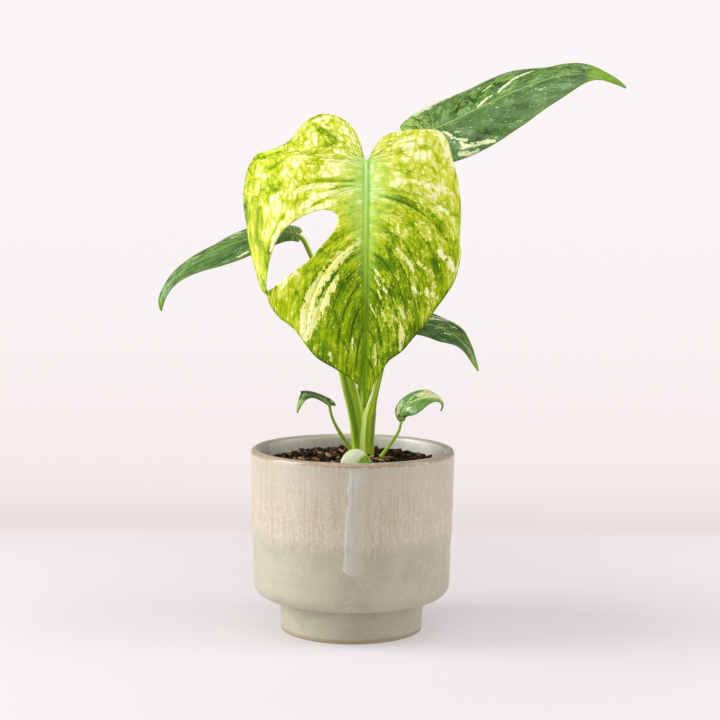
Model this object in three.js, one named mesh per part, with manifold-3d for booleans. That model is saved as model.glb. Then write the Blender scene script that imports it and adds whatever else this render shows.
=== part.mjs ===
// A potted variegated monstera: a glazed stoneware pot on a stepped-in foot, bark soil, and a young plant whose
// seven leaves stand on stalks of their own. Millimetres, +Z up. The origin is on the pot's axis at the underside
// of its foot, and -Y is the side that the big heart-shaped leaf faces.
import * as THREE from 'three';
import { mergeVertices } from 'three/addons/utils/BufferGeometryUtils.js';
import Module from 'manifold-3d';

const wasm = await Module();
wasm.setup();

// Pot
const POT_HEIGHT = 125.6;
const RIM_RADIUS = 70;
const BODY_RADIUS = 67.6;
const FOOT_RADIUS = 48.9;
const FOOT_HEIGHT = 23.4;
const FOOT_TAPER = 0.9;
const FOOT_EDGE = 1.2;
const WALL = 6;
const BODY_CORNER = 9.5;
// The body narrows a little from its straight upper part down to its corner.
const UPPER_BODY = { radius: 69.4, height: 92 };
const LOWER_BODY = { radius: 68.1, height: 58 };
// Inside, the floor of the foot's well, and the shelf round it.
const FLOOR_HEIGHT = 8;
const FLOOR_CORNER = 4;
const WELL_RADIUS = 41.5;
const SHELF_HEIGHT = 30.5;
const SHELF_CORNER = 2;
const POT_SIDES = 54;

// Soil
const SOIL_EDGE = 113.5;
const SOIL_CROWN = 121;
const SOIL_SHOULDER = 0.8;
const SOIL_ROUGHNESS = 0.7;
const SOIL_SIDES = 36;
const SOIL_RINGS = 6;
const CHIP_COUNT = 40;
const CHIP_LENGTH = [6, 13];
const CHIP_RISE = 0.7;
const CHIP_SPREAD = 52;
const CHIP_SEED = 11;
// The soil dips where the lowest leaf stands, as far round as its reach, and its chips lie deeper there.
const LOWEST_LEAF = { x: 1.5, y: -40, reach: 19, dip: 4.5, sunkChips: 3 };

// Clear space between neighbours, the thickness of a leaf blade, and how fast the lobes behind its stalk hang
// down, in millimetres for each square millimetre of their length
const GAP = 0.3;
const BLADE = 0.8;
const LOBE_DROOP = 0.004;
const DEGREE = Math.PI / 180;

// A leaf lies round its midrib, a cubic curve from the stalk to the tip. Its outline is drawn flat, as stations:
// where a side vein leaves the midrib, and where that vein ends on the left and on the right margin, each as
// [across, along]. face is the way the upper side looks. fold lifts a half from the midrib and droop bends it
// down again towards its margin, in degrees, each at the stalk and at the tip.
const MAIN_LEAF = {
  midrib: [[7.5, -22, 320.6], [7.5, -53.2, 273.5], [8.4, -73.2, 220], [7.3, -76, 163.6]],
  length: 168,
  halfWidth: 75,
  face: [-0.1, -1, 0.35],
  left: { fold: [12, 8], droop: [36, 26] },
  right: { fold: [12, 8], droop: [50, 38] },
  wave: [1.2, 5],
  stations: [
    [-1.5, [-2.2, -3.5], [2.6, -2]],
    [-1.2, [-4, -15], [4, -8]],
    [-0.9, [-9.5, -28], [8, -15]],
    [-0.6, [-18, -38.5], [13.5, -20.5]],
    [-0.3, [-30, -44], [20.5, -23.5]],
    [0, [-39.5, -40], [30.5, -25.3]],
    [0.5, [-46, -31.5], [41, -26.4]],
    [1, [-50.5, -22.5], [49, -26]],
    [2, [-57, -18.5], [54.5, -19.7]],
    [3.5, [-67, -17.6], [57.5, -11]],
    [5, [-77, -17.8], [59.7, -2]],
    [7, [-83, -10], [61.5, 8]],
    [10, [-85.4, 6], [62.4, 19]],
    [14, [-85.2, 22], [63.2, 31]],
    [18, [-83, 38], [63.4, 42]],
    [22, [-80, 58], [63.4, 50]],
    [26, [-75.2, 74], [63, 58]],
    [31, [-69.5, 89.5], [62.8, 68]],
    [44, [-65.5, 93.5], [58.5, 84]],
    [56, [-63, 101], [52, 95.5]],
    [68, [-57, 109.5], [45, 105.5]],
    [80, [-47, 117.5], [37.5, 116]],
    [92, [-38.5, 128.5], [30.5, 124.3]],
    [104, [-31, 137], [24, 132]],
    [117, [-20, 143.5], [15.5, 138.5]],
    [130, [-10, 149.5], [9.5, 147]],
    [143, [-4.2, 155], [5, 152]],
    [156, [-2.2, 160.5], [2.8, 158.5]],
    [168, [-0.7, 168], [0.7, 168]],
  ],
};
// The one closed hole in the main blade, as an outline in the blade's flat [across, along].
const MAIN_HOLE = [
  [-65.5, 90], [-65.4, 74.3], [-63, 63.6], [-58.6, 53.1], [-52, 45.7], [-41.5, 39.3], [-32.6, 36.6],
  [-26.3, 36.2], [-20.6, 38.6], [-18.4, 42.8], [-19.8, 49.5], [-24.2, 56.2], [-29.8, 62.7], [-37.3, 71.6],
  [-47.5, 78.8], [-57.9, 86.6],
];
const UPPER_LEAF = {
  midrib: [[48.7, 30, 341.2], [93, 32.4, 358.4], [146.9, 24.7, 401.2], [184.8, 20, 372.8]],
  length: 147,
  halfWidth: 36,
  face: [0, -0.64, 0.77],
  left: { fold: [4, 0], droop: [34, 24] },
  right: { fold: [4, 0], droop: [40, 30] },
  wave: [1, 4],
  stations: [
    [-1, [-1.5, -3], [1.5, -3]],
    [-0.5, [-7, -11], [7, -12]],
    [0, [-17, -14], [17, -15]],
    [2, [-26, -8], [27, -9]],
    [6, [-31, 4], [34, 3]],
    [14, [-33.2, 19], [38, 18]],
    [24, [-32.8, 34], [38.5, 32]],
    [36, [-31, 49], [36, 46]],
    [50, [-29, 65], [29, 61]],
    [66, [-25, 80], [21, 75]],
    [82, [-20, 94], [16, 89]],
    [98, [-14, 107], [15.2, 104]],
    [112, [-7.5, 119], [10.5, 116.5]],
    [124, [-4, 128], [6.2, 127]],
    [136, [-2.6, 138], [3.4, 138]],
    [147, [-0.6, 147], [0.6, 147]],
  ],
};
const LEFT_LEAF = {
  midrib: [[-40.9, 12, 271.4], [-60.3, 12, 278.4], [-140.1, 4, 245.8], [-131.3, 2, 218.4]],
  length: 115,
  halfWidth: 30,
  face: [-0.1, -0.3, 0.95],
  left: { fold: [3, 4], droop: [20, 20] },
  right: { fold: [6, 4], droop: [30, 30] },
  wave: [0.9, 3],
  stations: [
    [-1, [-1.5, -3], [1.5, -3]],
    [-0.5, [-6, -7], [6, -8]],
    [0, [-12, -5], [11, -8]],
    [2, [-17, 0], [12, -1]],
    [5, [-21.5, 9], [15, 9]],
    [10, [-25, 22], [20, 19]],
    [18, [-25, 34], [23, 29]],
    [28, [-23.6, 46], [24.5, 42]],
    [39, [-19, 54.5], [21.8, 54.5]],
    [50, [-15.5, 64], [17.5, 65]],
    [62, [-10.5, 75], [13, 76]],
    [75, [-7, 86], [8.5, 86]],
    [88, [-4.5, 95], [5.5, 95]],
    [101, [-2.6, 105], [3, 105]],
    [115, [-0.5, 115], [0.5, 115]],
  ],
};
const RIGHT_LEAF = {
  midrib: [[35.5, 22, 210.7], [50.1, 22, 210.7], [77.9, 18, 207.6], [86.3, 16, 177.6]],
  length: 66,
  halfWidth: 26,
  face: [0.1, -0.36, 0.93],
  left: { fold: [4, 0], droop: [30, 20] },
  right: { fold: [6, 2], droop: [24, 24] },
  wave: [0.7, 3],
  stations: [
    [-1, [-1.5, -3], [1.5, -3]],
    [-0.5, [-6, -8], [7, -8]],
    [0, [-12, -6], [14, -8]],
    [2, [-15, 2], [20.5, -2]],
    [6, [-16.3, 12], [24, 7]],
    [12, [-16.8, 22], [25, 17]],
    [19, [-15.5, 32], [23.6, 26.5]],
    [28, [-12, 40], [20, 34]],
    [37, [-8.7, 46.4], [15, 41.6]],
    [47, [-5.2, 54], [8.5, 49]],
    [57, [-3, 61], [3, 58]],
    [66, [-0.5, 66], [0.5, 66]],
  ],
};
const SMALL_LEFT_LEAF = {
  midrib: [[-16.4, -8, 156.7], [-26.8, -10, 166.3], [-36.9, -18, 166.5], [-37.5, -18, 151.6]],
  length: 33,
  halfWidth: 10,
  face: [-0.1, -0.36, 0.93],
  left: { fold: [6, 0], droop: [30, 20] },
  right: { fold: [6, 2], droop: [24, 24] },
  wave: [0.3, 2],
  stations: [
    [-0.5, [-1, -1.6], [0.8, -1]],
    [0, [-5, -4], [1.6, -1.4]],
    [1, [-8, -1.5], [2.6, 0.8]],
    [4, [-9, 5], [3.8, 6]],
    [9, [-11, 12], [4.8, 12.6]],
    [14, [-12, 15.5], [4.6, 19]],
    [20, [-5, 19.5], [3.4, 24]],
    [26, [-1.6, 26], [2, 29]],
    [33, [-0.4, 33], [0.4, 33]],
  ],
};
const SMALL_RIGHT_LEAF = {
  midrib: [[33.4, -10, 146.4], [29.8, -12, 162.3], [67.8, -14, 168], [59.6, -12, 153.1]],
  length: 43,
  halfWidth: 12,
  face: [0.1, -0.6, 0.8],
  left: { fold: [6, 0], droop: [30, 20] },
  right: { fold: [6, 2], droop: [24, 24] },
  wave: [0.3, 2],
  stations: [
    [-0.5, [-0.8, -1], [0.8, -1]],
    [0, [-2.8, -1.2], [2.2, -0.4]],
    [1, [-5, 1], [4.4, 3]],
    [4, [-8, 6.6], [7.4, 8]],
    [9, [-9.4, 13], [9.4, 13.4]],
    [15, [-9, 19], [9.8, 19]],
    [21, [-5.8, 24], [8.8, 24]],
    [27, [-2.8, 29], [4.5, 29]],
    [34, [-1.2, 35], [1.4, 35]],
    [43, [-0.4, 43], [0.4, 43]],
  ],
};
const BASE_LEAF = {
  midrib: [[-1.8, -40, 117.9], [1, -41, 121.4], [4.2, -40.8, 125.2], [7.5, -39, 128.6]],
  length: 14.4,
  halfWidth: 10,
  face: [-0.05, -1, 0.2],
  left: { fold: [6, 6], droop: [40, 40] },
  right: { fold: [2, 2], droop: [26, 26] },
  wave: [0, 0],
  stations: [
    [0, [-0.8, 0.4], [3, -1.8]],
    [0.8, [-2.6, 2], [7, -1.6]],
    [2, [-5, 4.6], [8.4, 1.6]],
    [4, [-7.6, 8], [8.8, 5.4]],
    [6.5, [-8.4, 11], [8, 8.9]],
    [9, [-7, 12.8], [6.3, 11.7]],
    [11.5, [-3.6, 13.4], [3.6, 13.8]],
    [14.4, [-0.5, 14.4], [0.5, 14.6]],
  ],
};

// A stalk is a route from its sunk end up to its leaf, with the half-width across the view and the half-depth at
// each of the route's points.
const UPPER_STALK = {
  route: [
    [9.6, -4, 98], [9.5, -4, 118], [10, -3.6, 137], [11.2, -2.4, 149], [13.6, -0.8, 157], [16.3, 2, 168],
    [19.5, 5.5, 182], [25.5, 12, 213], [34, 19, 262], [41, 24, 302], [45.4, 27, 328], [48.4, 29.7, 340.9],
  ],
  across: [5, 5.1, 5.1, 4.7, 2.7, 2.1, 2.1, 2.1, 2, 1.9, 1.9, 2],
  deep: [4.4, 4.6, 4.6, 4.2, 2.6, 2.1, 2.1, 2.1, 2, 1.9, 1.9, 2],
};
const MAIN_STALK = {
  route: [
    [8.8, -2, 106], [8.2, -1.4, 130], [7.4, 0.4, 150], [7.1, 1.6, 166], [7.8, 2, 193], [8.2, 1.4, 230],
    [8.2, -0.5, 262], [8, -4, 290], [7.8, -9, 308], [7.5, -15.5, 317.6], [7.5, -20.8, 319.6],
  ],
  across: [1.4, 1.6, 1.75, 1.8, 1.8, 1.8, 1.8, 1.8, 1.9, 2.1, 1.9],
  deep: [1.4, 1.6, 1.75, 1.8, 1.8, 1.8, 1.8, 1.8, 1.9, 2.1, 1.9],
};
const LEFT_STALK = {
  route: [
    [4.4, 7, 98], [4.2, 7, 121], [3.2, 7, 138], [1.2, 7, 151], [-2.6, 7.2, 166], [-7, 7.8, 182],
    [-12.2, 8.6, 199], [-19.4, 9.6, 223], [-26, 10.4, 246], [-31.4, 11.2, 260], [-35.8, 11.6, 268], [-40.4, 12, 271.1],
  ],
  across: [4.2, 4.6, 5, 5.2, 4.9, 4.2, 3, 2.1, 1.7, 1.6, 1.6, 1.6],
  deep: [3.4, 3.8, 4, 4, 3.8, 3.4, 2.6, 2, 1.7, 1.6, 1.6, 1.6],
};
const RIGHT_STALK = {
  route: [
    [9.4, 13.4, 98], [8.6, 13.6, 121], [6, 14.2, 143], [4.4, 14.8, 163], [8.4, 15.8, 181], [19.4, 17.8, 198.5],
    [29, 20.2, 208], [35, 21.8, 210.4],
  ],
  across: [1.8, 1.8, 1.7, 1.7, 1.5, 1.4, 1.4, 1.4],
  deep: [1.8, 1.8, 1.7, 1.7, 1.5, 1.4, 1.4, 1.4],
};
const SMALL_LEFT_STALK = {
  route: [[1.2, -3.6, 104], [0.4, -3.8, 119], [-2.2, -4.2, 125.6], [-7.6, -5.2, 134.7], [-11.5, -6.2, 141.5],
    [-14.4, -7, 148], [-16.2, -7.9, 156.3]],
  across: [1.5, 1.5, 1.4, 1.3, 1.1, 1, 1],
  deep: [1.5, 1.5, 1.4, 1.3, 1.1, 1, 1],
};
const SMALL_RIGHT_STALK = {
  route: [[10.6, -14.2, 106], [15.6, -14.1, 116.4], [22, -13.3, 125.4], [27.7, -12.4, 133.1], [31.2, -11.2, 138.6],
    [32.6, -10.3, 143.6], [33.3, -10, 146]],
  across: [1.3, 1.3, 1.2, 1.1, 1, 0.9, 0.9],
  deep: [1.3, 1.3, 1.2, 1.1, 1, 0.9, 0.9],
};
const BASE_STALK = {
  route: [[0, -31, 98], [-2, -36, 109], [-1.9, -39.6, 117.6]],
  across: [1.3, 1.2, 1],
  deep: [1.3, 1.2, 1],
};

// Booleans

function toManifold(geometry) {
  const bare = geometry.clone();
  bare.deleteAttribute('normal');
  bare.deleteAttribute('uv');
  const merged = mergeVertices(bare, 1e-4);
  return new wasm.Manifold(new wasm.Mesh({
    numProp: 3,
    vertProperties: new Float32Array(merged.getAttribute('position').array),
    triVerts: new Uint32Array(merged.getIndex().array),
  }));
}

// The largest body of a cut or joined solid, without loose scraps, and with its sealed hollows filled.
function largestBody(manifold) {
  return manifold.decompose().reduce((best, body) => (body.volume() > best.volume() ? body : best));
}

function toGeometry(manifold) {
  const mesh = largestBody(manifold).getMesh();
  const geometry = new THREE.BufferGeometry();
  geometry.setAttribute('position', new THREE.BufferAttribute(new Float32Array(mesh.vertProperties), 3));
  geometry.setIndex(Array.from(mesh.triVerts));
  return geometry;
}

// Leaf blades

function atEnds([atStalk, atTip], t) {
  return THREE.MathUtils.lerp(atStalk, atTip, THREE.MathUtils.clamp(t, -0.3, 1));
}

// The point of a leaf that is `across` and `along` millimetres from its stalk on the flat blade, and `height`
// off the middle of its thickness.
function onLeaf(leaf, across, along, height) {
  const curve = new THREE.CubicBezierCurve3(...leaf.midrib.map((p) => new THREE.Vector3(...p)));
  const t = along / leaf.length;
  const inside = THREE.MathUtils.clamp(t, 0, 1);
  const speed = curve.v1.clone().sub(curve.v0).multiplyScalar(3);
  const tangent = curve.getTangent(inside);
  const centre = curve.getPoint(inside).addScaledVector(speed, Math.min(t, 0));
  const side = new THREE.Vector3(...leaf.face).cross(tangent).normalize();
  const normal = tangent.clone().cross(side);
  const half = across < 0 ? leaf.left : leaf.right;
  const sign = Math.sign(across);
  const fold = atEnds(half.fold, t) * DEGREE;
  const bend = (atEnds(half.droop, t) * DEGREE) / leaf.halfWidth;
  const slope = fold - bend * Math.abs(across);
  const out = (Math.sin(fold) - Math.sin(slope)) / bend;
  const lobe = LOBE_DROOP * Math.min(along, 0) ** 2;
  const up = (Math.cos(slope) - Math.cos(fold)) / bend - lobe;
  return centre
    .addScaledVector(side, sign * (out - Math.sin(slope) * height))
    .addScaledVector(normal, up + Math.cos(slope) * height);
}

// A closed sheet: both faces are split into triangles alike, and a band closes its border.
function closedSheet(columns, rows, place) {
  const plane = new THREE.PlaneGeometry(2, 1, columns, rows);
  const flat = plane.getAttribute('position');
  const count = flat.count;
  const positions = [1, -1].flatMap((face) => Array.from({ length: count }, (_, i) => (
    place(0.5 - flat.getY(i), flat.getX(i), face).toArray()
  ))).flat();
  const faces = plane.getIndex().array;
  const index = [];
  for (let i = 0; i < faces.length; i += 3) {
    const [a, b, c] = [faces[i], faces[i + 1], faces[i + 2]];
    index.push(a, b, c, a + count, c + count, b + count);
  }
  const width = columns + 1;
  const last = width * rows;
  const border = [];
  for (let r = 0; r < rows; r += 1) border.push(r * width);
  for (let c = 0; c < columns; c += 1) border.push(last + c);
  for (let r = rows; r > 0; r -= 1) border.push(r * width + columns);
  for (let c = columns; c > 0; c -= 1) border.push(c);
  border.forEach((a, i) => {
    const b = border[(i + 1) % border.length];
    index.push(b, a, a + count, b, a + count, b + count);
  });
  const geometry = new THREE.BufferGeometry();
  geometry.setAttribute('position', new THREE.Float32BufferAttribute(positions, 3));
  geometry.setIndex(index);
  return geometry;
}

// A margin as a smooth curve of (across, along, vein origin) through the stations.
function margin(leaf, side) {
  const points = leaf.stations.map(([origin, left, right]) => {
    const end = side < 0 ? left : right;
    return new THREE.Vector3(end[0], end[1], origin);
  });
  return new THREE.CatmullRomCurve3(points, false, 'catmullrom', 0.5);
}

function blade(leaf, rows, columns, thickness = BLADE) {
  const margins = { left: margin(leaf, -1), right: margin(leaf, 1) };
  const [waveHeight, waves] = leaf.wave;
  return closedSheet(2 * columns, rows, (u, v, face) => {
    const end = (v < 0 ? margins.left : margins.right).getPoint(u);
    const reach = Math.abs(v);
    const along = THREE.MathUtils.lerp(end.z, end.y, reach);
    const wave = waveHeight * reach ** 2 * Math.sin(2 * Math.PI * waves * u) * Math.sin(Math.PI * u);
    return onLeaf(leaf, end.x * reach, along, (face * thickness) / 2 + wave);
  });
}

// The plug that cuts the main blade's hole follows the blade's own bend, so that its wall is square to it.
function holePlug(leaf, outline) {
  const depth = 16;
  const curve = new THREE.CatmullRomCurve3(
    outline.map(([across, along]) => new THREE.Vector3(across, along, 0)), true, 'catmullrom', 0.5,
  );
  const shape = new THREE.Shape(curve.getPoints(3 * outline.length).slice(0, -1)
    .map((p) => new THREE.Vector2(p.x, -p.y)));
  const plug = new THREE.ExtrudeGeometry(shape, { depth, steps: 1, bevelEnabled: false });
  const position = plug.getAttribute('position');
  for (let i = 0; i < position.count; i += 1) {
    const height = position.getZ(i) - depth / 2;
    position.setXYZ(i, ...onLeaf(leaf, position.getX(i), -position.getY(i), height).toArray());
  }
  return plug;
}

function mainBlade() {
  const whole = toManifold(blade(MAIN_LEAF, 48, 6));
  return toGeometry(whole.subtract(toManifold(holePlug(MAIN_LEAF, MAIN_HOLE))));
}

// Stalks

// A cylinder bent along the stalk's route. `clear` makes it that much thicker all round, for the hole it stands in.
function stalk({ route, across, deep }, sides, segments, clear = 0) {
  const curve = new THREE.CatmullRomCurve3(route.map((p) => new THREE.Vector3(...p)));
  const widths = new THREE.CatmullRomCurve3(
    route.map((_, i) => new THREE.Vector3(across[i], deep[i], i)), false, 'catmullrom', 0.5,
  );
  const geometry = new THREE.CylinderGeometry(1, 1, 1, sides, segments);
  const position = geometry.getAttribute('position');
  for (let i = 0; i < position.count; i += 1) {
    const t = THREE.MathUtils.clamp(position.getY(i) + 0.5, 0, 1);
    const tangent = curve.getTangent(t);
    const depthWay = new THREE.Vector3(0, 1, 0).addScaledVector(tangent, -tangent.y).normalize();
    const acrossWay = depthWay.clone().cross(tangent);
    const width = widths.getPoint(t);
    const point = curve.getPoint(t)
      .addScaledVector(acrossWay, position.getX(i) * (width.x + clear))
      .addScaledVector(depthWay, -position.getZ(i) * (width.y + clear));
    if (t === 0) point.addScaledVector(tangent, -clear);
    position.setXYZ(i, ...point.toArray());
  }
  return geometry;
}

// A stalk cut off under the blade that it carries.
function under(leaf, whole) {
  return toGeometry(whole.subtract(toManifold(blade(leaf, 24, 6, BLADE + 2 * GAP))));
}

function fittedStalk(shape, leaf, sides, segments) {
  return under(leaf, toManifold(stalk(shape, sides, segments)));
}

// The sheath on the upper stalk's foot wraps the main leaf's stalk, which leaves it at the sheath's mouth.
function sheathedStalk() {
  const whole = toManifold(stalk(UPPER_STALK, 12, 26));
  return under(UPPER_LEAF, whole.subtract(toManifold(stalk(MAIN_STALK, 10, 20, GAP))));
}

// Pot and soil

function arc(radius, height, size, from, to, steps) {
  return Array.from({ length: steps + 1 }, (_, i) => {
    const angle = THREE.MathUtils.lerp(from, to, i / steps) * DEGREE;
    return new THREE.Vector2(radius + size * Math.cos(angle), height + size * Math.sin(angle));
  });
}

// Lathe of a profile drawn in the XY plane, stood up on Z.
function turned(profile, sides) {
  return new THREE.LatheGeometry(profile, sides).rotateX(Math.PI / 2);
}

// The inside of the pot, from the middle of its floor out over the shelf above the foot and up the wall. `clear`
// draws it that much smaller, for what fills the pot.
function insideProfile(clear) {
  const corner = BODY_CORNER - 1;
  return [
    new THREE.Vector2(0, FLOOR_HEIGHT + clear),
    new THREE.Vector2(WELL_RADIUS - FLOOR_CORNER - clear, FLOOR_HEIGHT + clear),
    new THREE.Vector2(WELL_RADIUS - clear, FLOOR_HEIGHT + FLOOR_CORNER + clear),
    new THREE.Vector2(WELL_RADIUS - clear, SHELF_HEIGHT - SHELF_CORNER + clear),
    new THREE.Vector2(WELL_RADIUS + SHELF_CORNER - clear, SHELF_HEIGHT + clear),
    ...arc(BODY_RADIUS - WALL - corner, SHELF_HEIGHT + corner, corner - clear, -90, 0, 3),
    new THREE.Vector2(RIM_RADIUS - WALL - clear, UPPER_BODY.height),
  ];
}

function potGeometry() {
  const rim = WALL / 2;
  const bottom = FOOT_RADIUS - FOOT_TAPER;
  const profile = [
    new THREE.Vector2(0, 0),
    new THREE.Vector2(bottom - FOOT_EDGE, 0),
    new THREE.Vector2(bottom, FOOT_EDGE),
    new THREE.Vector2(FOOT_RADIUS, FOOT_HEIGHT - FOOT_EDGE),
    new THREE.Vector2(FOOT_RADIUS + FOOT_EDGE, FOOT_HEIGHT),
    ...arc(BODY_RADIUS - BODY_CORNER, FOOT_HEIGHT + BODY_CORNER + 0.4, BODY_CORNER, -85, 0, 5),
    new THREE.Vector2(LOWER_BODY.radius, LOWER_BODY.height),
    new THREE.Vector2(UPPER_BODY.radius, UPPER_BODY.height),
    ...arc(RIM_RADIUS - rim, POT_HEIGHT - rim, rim, 0, 180, 6),
    ...insideProfile(0).reverse(),
  ];
  return turned(profile, POT_SIDES);
}

// How near a place is to the lowest leaf: 1 at its foot, 0 from its reach outwards.
function nearness(x, y) {
  const distance = Math.hypot(x - LOWEST_LEAF.x, y - LOWEST_LEAF.y) / LOWEST_LEAF.reach;
  return 1 - THREE.MathUtils.smoothstep(distance, 0.3, 1);
}

// Height of the soil's mound, without its chips.
function soilHeight(x, y) {
  const reach = Math.min(1, Math.hypot(x, y) / (RIM_RADIUS - WALL));
  const mound = SOIL_EDGE + (SOIL_CROWN - SOIL_EDGE) * Math.cos((Math.PI / 2) * reach) ** SOIL_SHOULDER;
  const grain = Math.sin(x * 0.61 + 1.3) * Math.sin(y * 0.53) + Math.sin(x * 0.29 - y * 0.37);
  return mound + SOIL_ROUGHNESS * grain * (1 - reach ** 4) - LOWEST_LEAF.dip * nearness(x, y);
}

function soilBody() {
  const wallRadius = RIM_RADIUS - WALL - GAP;
  const rings = SOIL_RINGS;
  const profile = [
    ...insideProfile(GAP),
    new THREE.Vector2(wallRadius, SOIL_EDGE),
    ...Array.from({ length: rings }, (_, i) => (
      new THREE.Vector2(wallRadius * (1 - (i + 1) / (rings + 1)), SOIL_CROWN)
    )),
    new THREE.Vector2(0, SOIL_CROWN),
  ];
  const body = turned(profile, SOIL_SIDES);
  const position = body.getAttribute('position');
  for (let i = 0; i < position.count; i += 1) {
    if (position.getZ(i) >= SOIL_EDGE) {
      position.setZ(i, soilHeight(position.getX(i), position.getY(i)));
    }
  }
  return toManifold(body);
}

function seeded(seed) {
  let state = seed;
  return () => {
    state = (state * 16807) % 2147483647;
    return state / 2147483647;
  };
}

// Chips of bark lie at all angles on the mound, half sunk in it, and clear of the wall and the lowest leaf.
function barkChips() {
  const draw = seeded(CHIP_SEED);
  const golden = Math.PI * (3 - Math.sqrt(5));
  return Array.from({ length: CHIP_COUNT }, (_, i) => {
    const length = THREE.MathUtils.lerp(...CHIP_LENGTH, draw());
    const chip = new THREE.BoxGeometry(length, length * (0.35 + 0.3 * draw()), 2.6 + 2 * draw());
    chip.rotateX((draw() - 0.5) * 0.6);
    chip.rotateY((draw() - 0.5) * 0.5);
    chip.rotateZ(draw() * Math.PI);
    const radius = CHIP_SPREAD * Math.sqrt((i + 0.5) / CHIP_COUNT);
    const [x, y] = [radius * Math.cos(i * golden), radius * Math.sin(i * golden)];
    const sunk = LOWEST_LEAF.sunkChips * Math.min(1, 3 * nearness(x, y));
    chip.translate(x, y, soilHeight(x, y) + CHIP_RISE - sunk);
    return toManifold(chip);
  });
}

function soilGeometry() {
  const stems = [UPPER_STALK, LEFT_STALK, RIGHT_STALK, SMALL_LEFT_STALK, SMALL_RIGHT_STALK, BASE_STALK];
  const heaped = barkChips().reduce((whole, chip) => whole.add(chip), soilBody());
  const holes = stems.map((stem) => toManifold(stalk(stem, 12, 24, GAP)));
  return toGeometry(holes.reduce((whole, hole) => whole.subtract(hole), heaped));
}

// Assembly

const glaze = new THREE.MeshStandardMaterial({ color: 0xb9b6a2, roughness: 0.35, metalness: 0 });
const bark = new THREE.MeshStandardMaterial({ color: 0x3b2a22, roughness: 0.95, metalness: 0 });
const limeGreen = new THREE.MeshStandardMaterial({ color: 0xb6c83c, roughness: 0.42, metalness: 0 });
const darkGreen = new THREE.MeshStandardMaterial({ color: 0x3c6636, roughness: 0.4, metalness: 0 });
const paleGreen = new THREE.MeshStandardMaterial({ color: 0xd9e8b4, roughness: 0.45, metalness: 0 });
const stalkGreen = new THREE.MeshStandardMaterial({ color: 0x86a81e, roughness: 0.4, metalness: 0 });

const plant = new THREE.Group();

function add(name, geometry, material) {
  const mesh = new THREE.Mesh(geometry, material);
  mesh.name = name;
  plant.add(mesh);
}

add('pot', potGeometry(), glaze);
add('soil', soilGeometry(), bark);
add('main_leaf', mainBlade(), limeGreen);
add('main_stalk', fittedStalk(MAIN_STALK, MAIN_LEAF, 10, 20), stalkGreen);
add('upper_leaf', blade(UPPER_LEAF, 24, 5), darkGreen);
add('upper_stalk', sheathedStalk(), stalkGreen);
add('left_leaf', blade(LEFT_LEAF, 20, 4), darkGreen);
add('left_stalk', fittedStalk(LEFT_STALK, LEFT_LEAF, 10, 22), stalkGreen);
add('right_leaf', blade(RIGHT_LEAF, 16, 4), darkGreen);
add('right_stalk', fittedStalk(RIGHT_STALK, RIGHT_LEAF, 8, 14), stalkGreen);
add('small_left_leaf', blade(SMALL_LEFT_LEAF, 12, 3), darkGreen);
add('small_left_stalk', fittedStalk(SMALL_LEFT_STALK, SMALL_LEFT_LEAF, 8, 12), stalkGreen);
add('small_right_leaf', blade(SMALL_RIGHT_LEAF, 14, 3), darkGreen);
add('small_right_stalk', fittedStalk(SMALL_RIGHT_STALK, SMALL_RIGHT_LEAF, 8, 12), stalkGreen);
add('base_leaf', blade(BASE_LEAF, 10, 4), paleGreen);
add('base_stalk', fittedStalk(BASE_STALK, BASE_LEAF, 8, 6), stalkGreen);

export default plant;
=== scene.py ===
"""A potted variegated monstera: fine leaves, stalks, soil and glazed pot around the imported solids."""

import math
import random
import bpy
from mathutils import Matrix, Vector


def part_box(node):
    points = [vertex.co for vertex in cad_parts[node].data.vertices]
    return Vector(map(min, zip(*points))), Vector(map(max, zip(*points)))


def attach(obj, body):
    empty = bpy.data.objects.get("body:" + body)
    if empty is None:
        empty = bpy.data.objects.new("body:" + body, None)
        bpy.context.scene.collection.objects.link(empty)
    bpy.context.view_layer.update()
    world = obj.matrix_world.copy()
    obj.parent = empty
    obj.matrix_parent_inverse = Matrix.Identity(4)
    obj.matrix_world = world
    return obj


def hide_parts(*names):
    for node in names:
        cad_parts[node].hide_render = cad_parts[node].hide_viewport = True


bl_info = {
    "name": "Potted mint monstera",
    "version": (1, 0, 0),
    "blender": (4, 5, 0),
    "location": "3D View > Sidebar > Monstera",
    "description": "Builds the leaves, stalks, bark soil and stoneware pot of a young variegated monstera",
    "category": "Object",
}

from types import SimpleNamespace

import bmesh
import bpy
import numpy as np
from bpy.props import FloatProperty, FloatVectorProperty, IntProperty, PointerProperty
from bpy.types import Operator, Panel, PropertyGroup
from mathutils import Matrix, Vector

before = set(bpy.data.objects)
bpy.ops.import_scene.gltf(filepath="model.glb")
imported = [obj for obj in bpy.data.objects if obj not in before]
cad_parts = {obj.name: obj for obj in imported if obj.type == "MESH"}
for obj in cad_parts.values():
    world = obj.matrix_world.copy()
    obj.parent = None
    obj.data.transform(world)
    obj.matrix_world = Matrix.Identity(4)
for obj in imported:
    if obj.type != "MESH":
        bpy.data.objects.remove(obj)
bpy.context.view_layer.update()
POT_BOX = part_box("pot")

MM = 0.001


def tint(red, green, blue):
    """A colour given in 0 to 255, as the linear light that Blender keeps."""
    return tuple(
        c / 12.92 if c <= 0.04045 else ((c + 0.055) / 1.055) ** 2.4
        for c in (red / 255, green / 255, blue / 255)
    )


def size_property(name, description, millimetres):
    return FloatProperty(
        name=name, description=description, default=millimetres * MM, min=0, unit="LENGTH", precision=5
    )


def colour_property(name, description, *colour):
    return FloatVectorProperty(
        name=name, description=description, default=tint(*colour), subtype="COLOR", size=3, min=0, max=1
    )


def strength_property(name, description, value):
    return FloatProperty(name=name, description=description, default=value, min=0)


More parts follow.
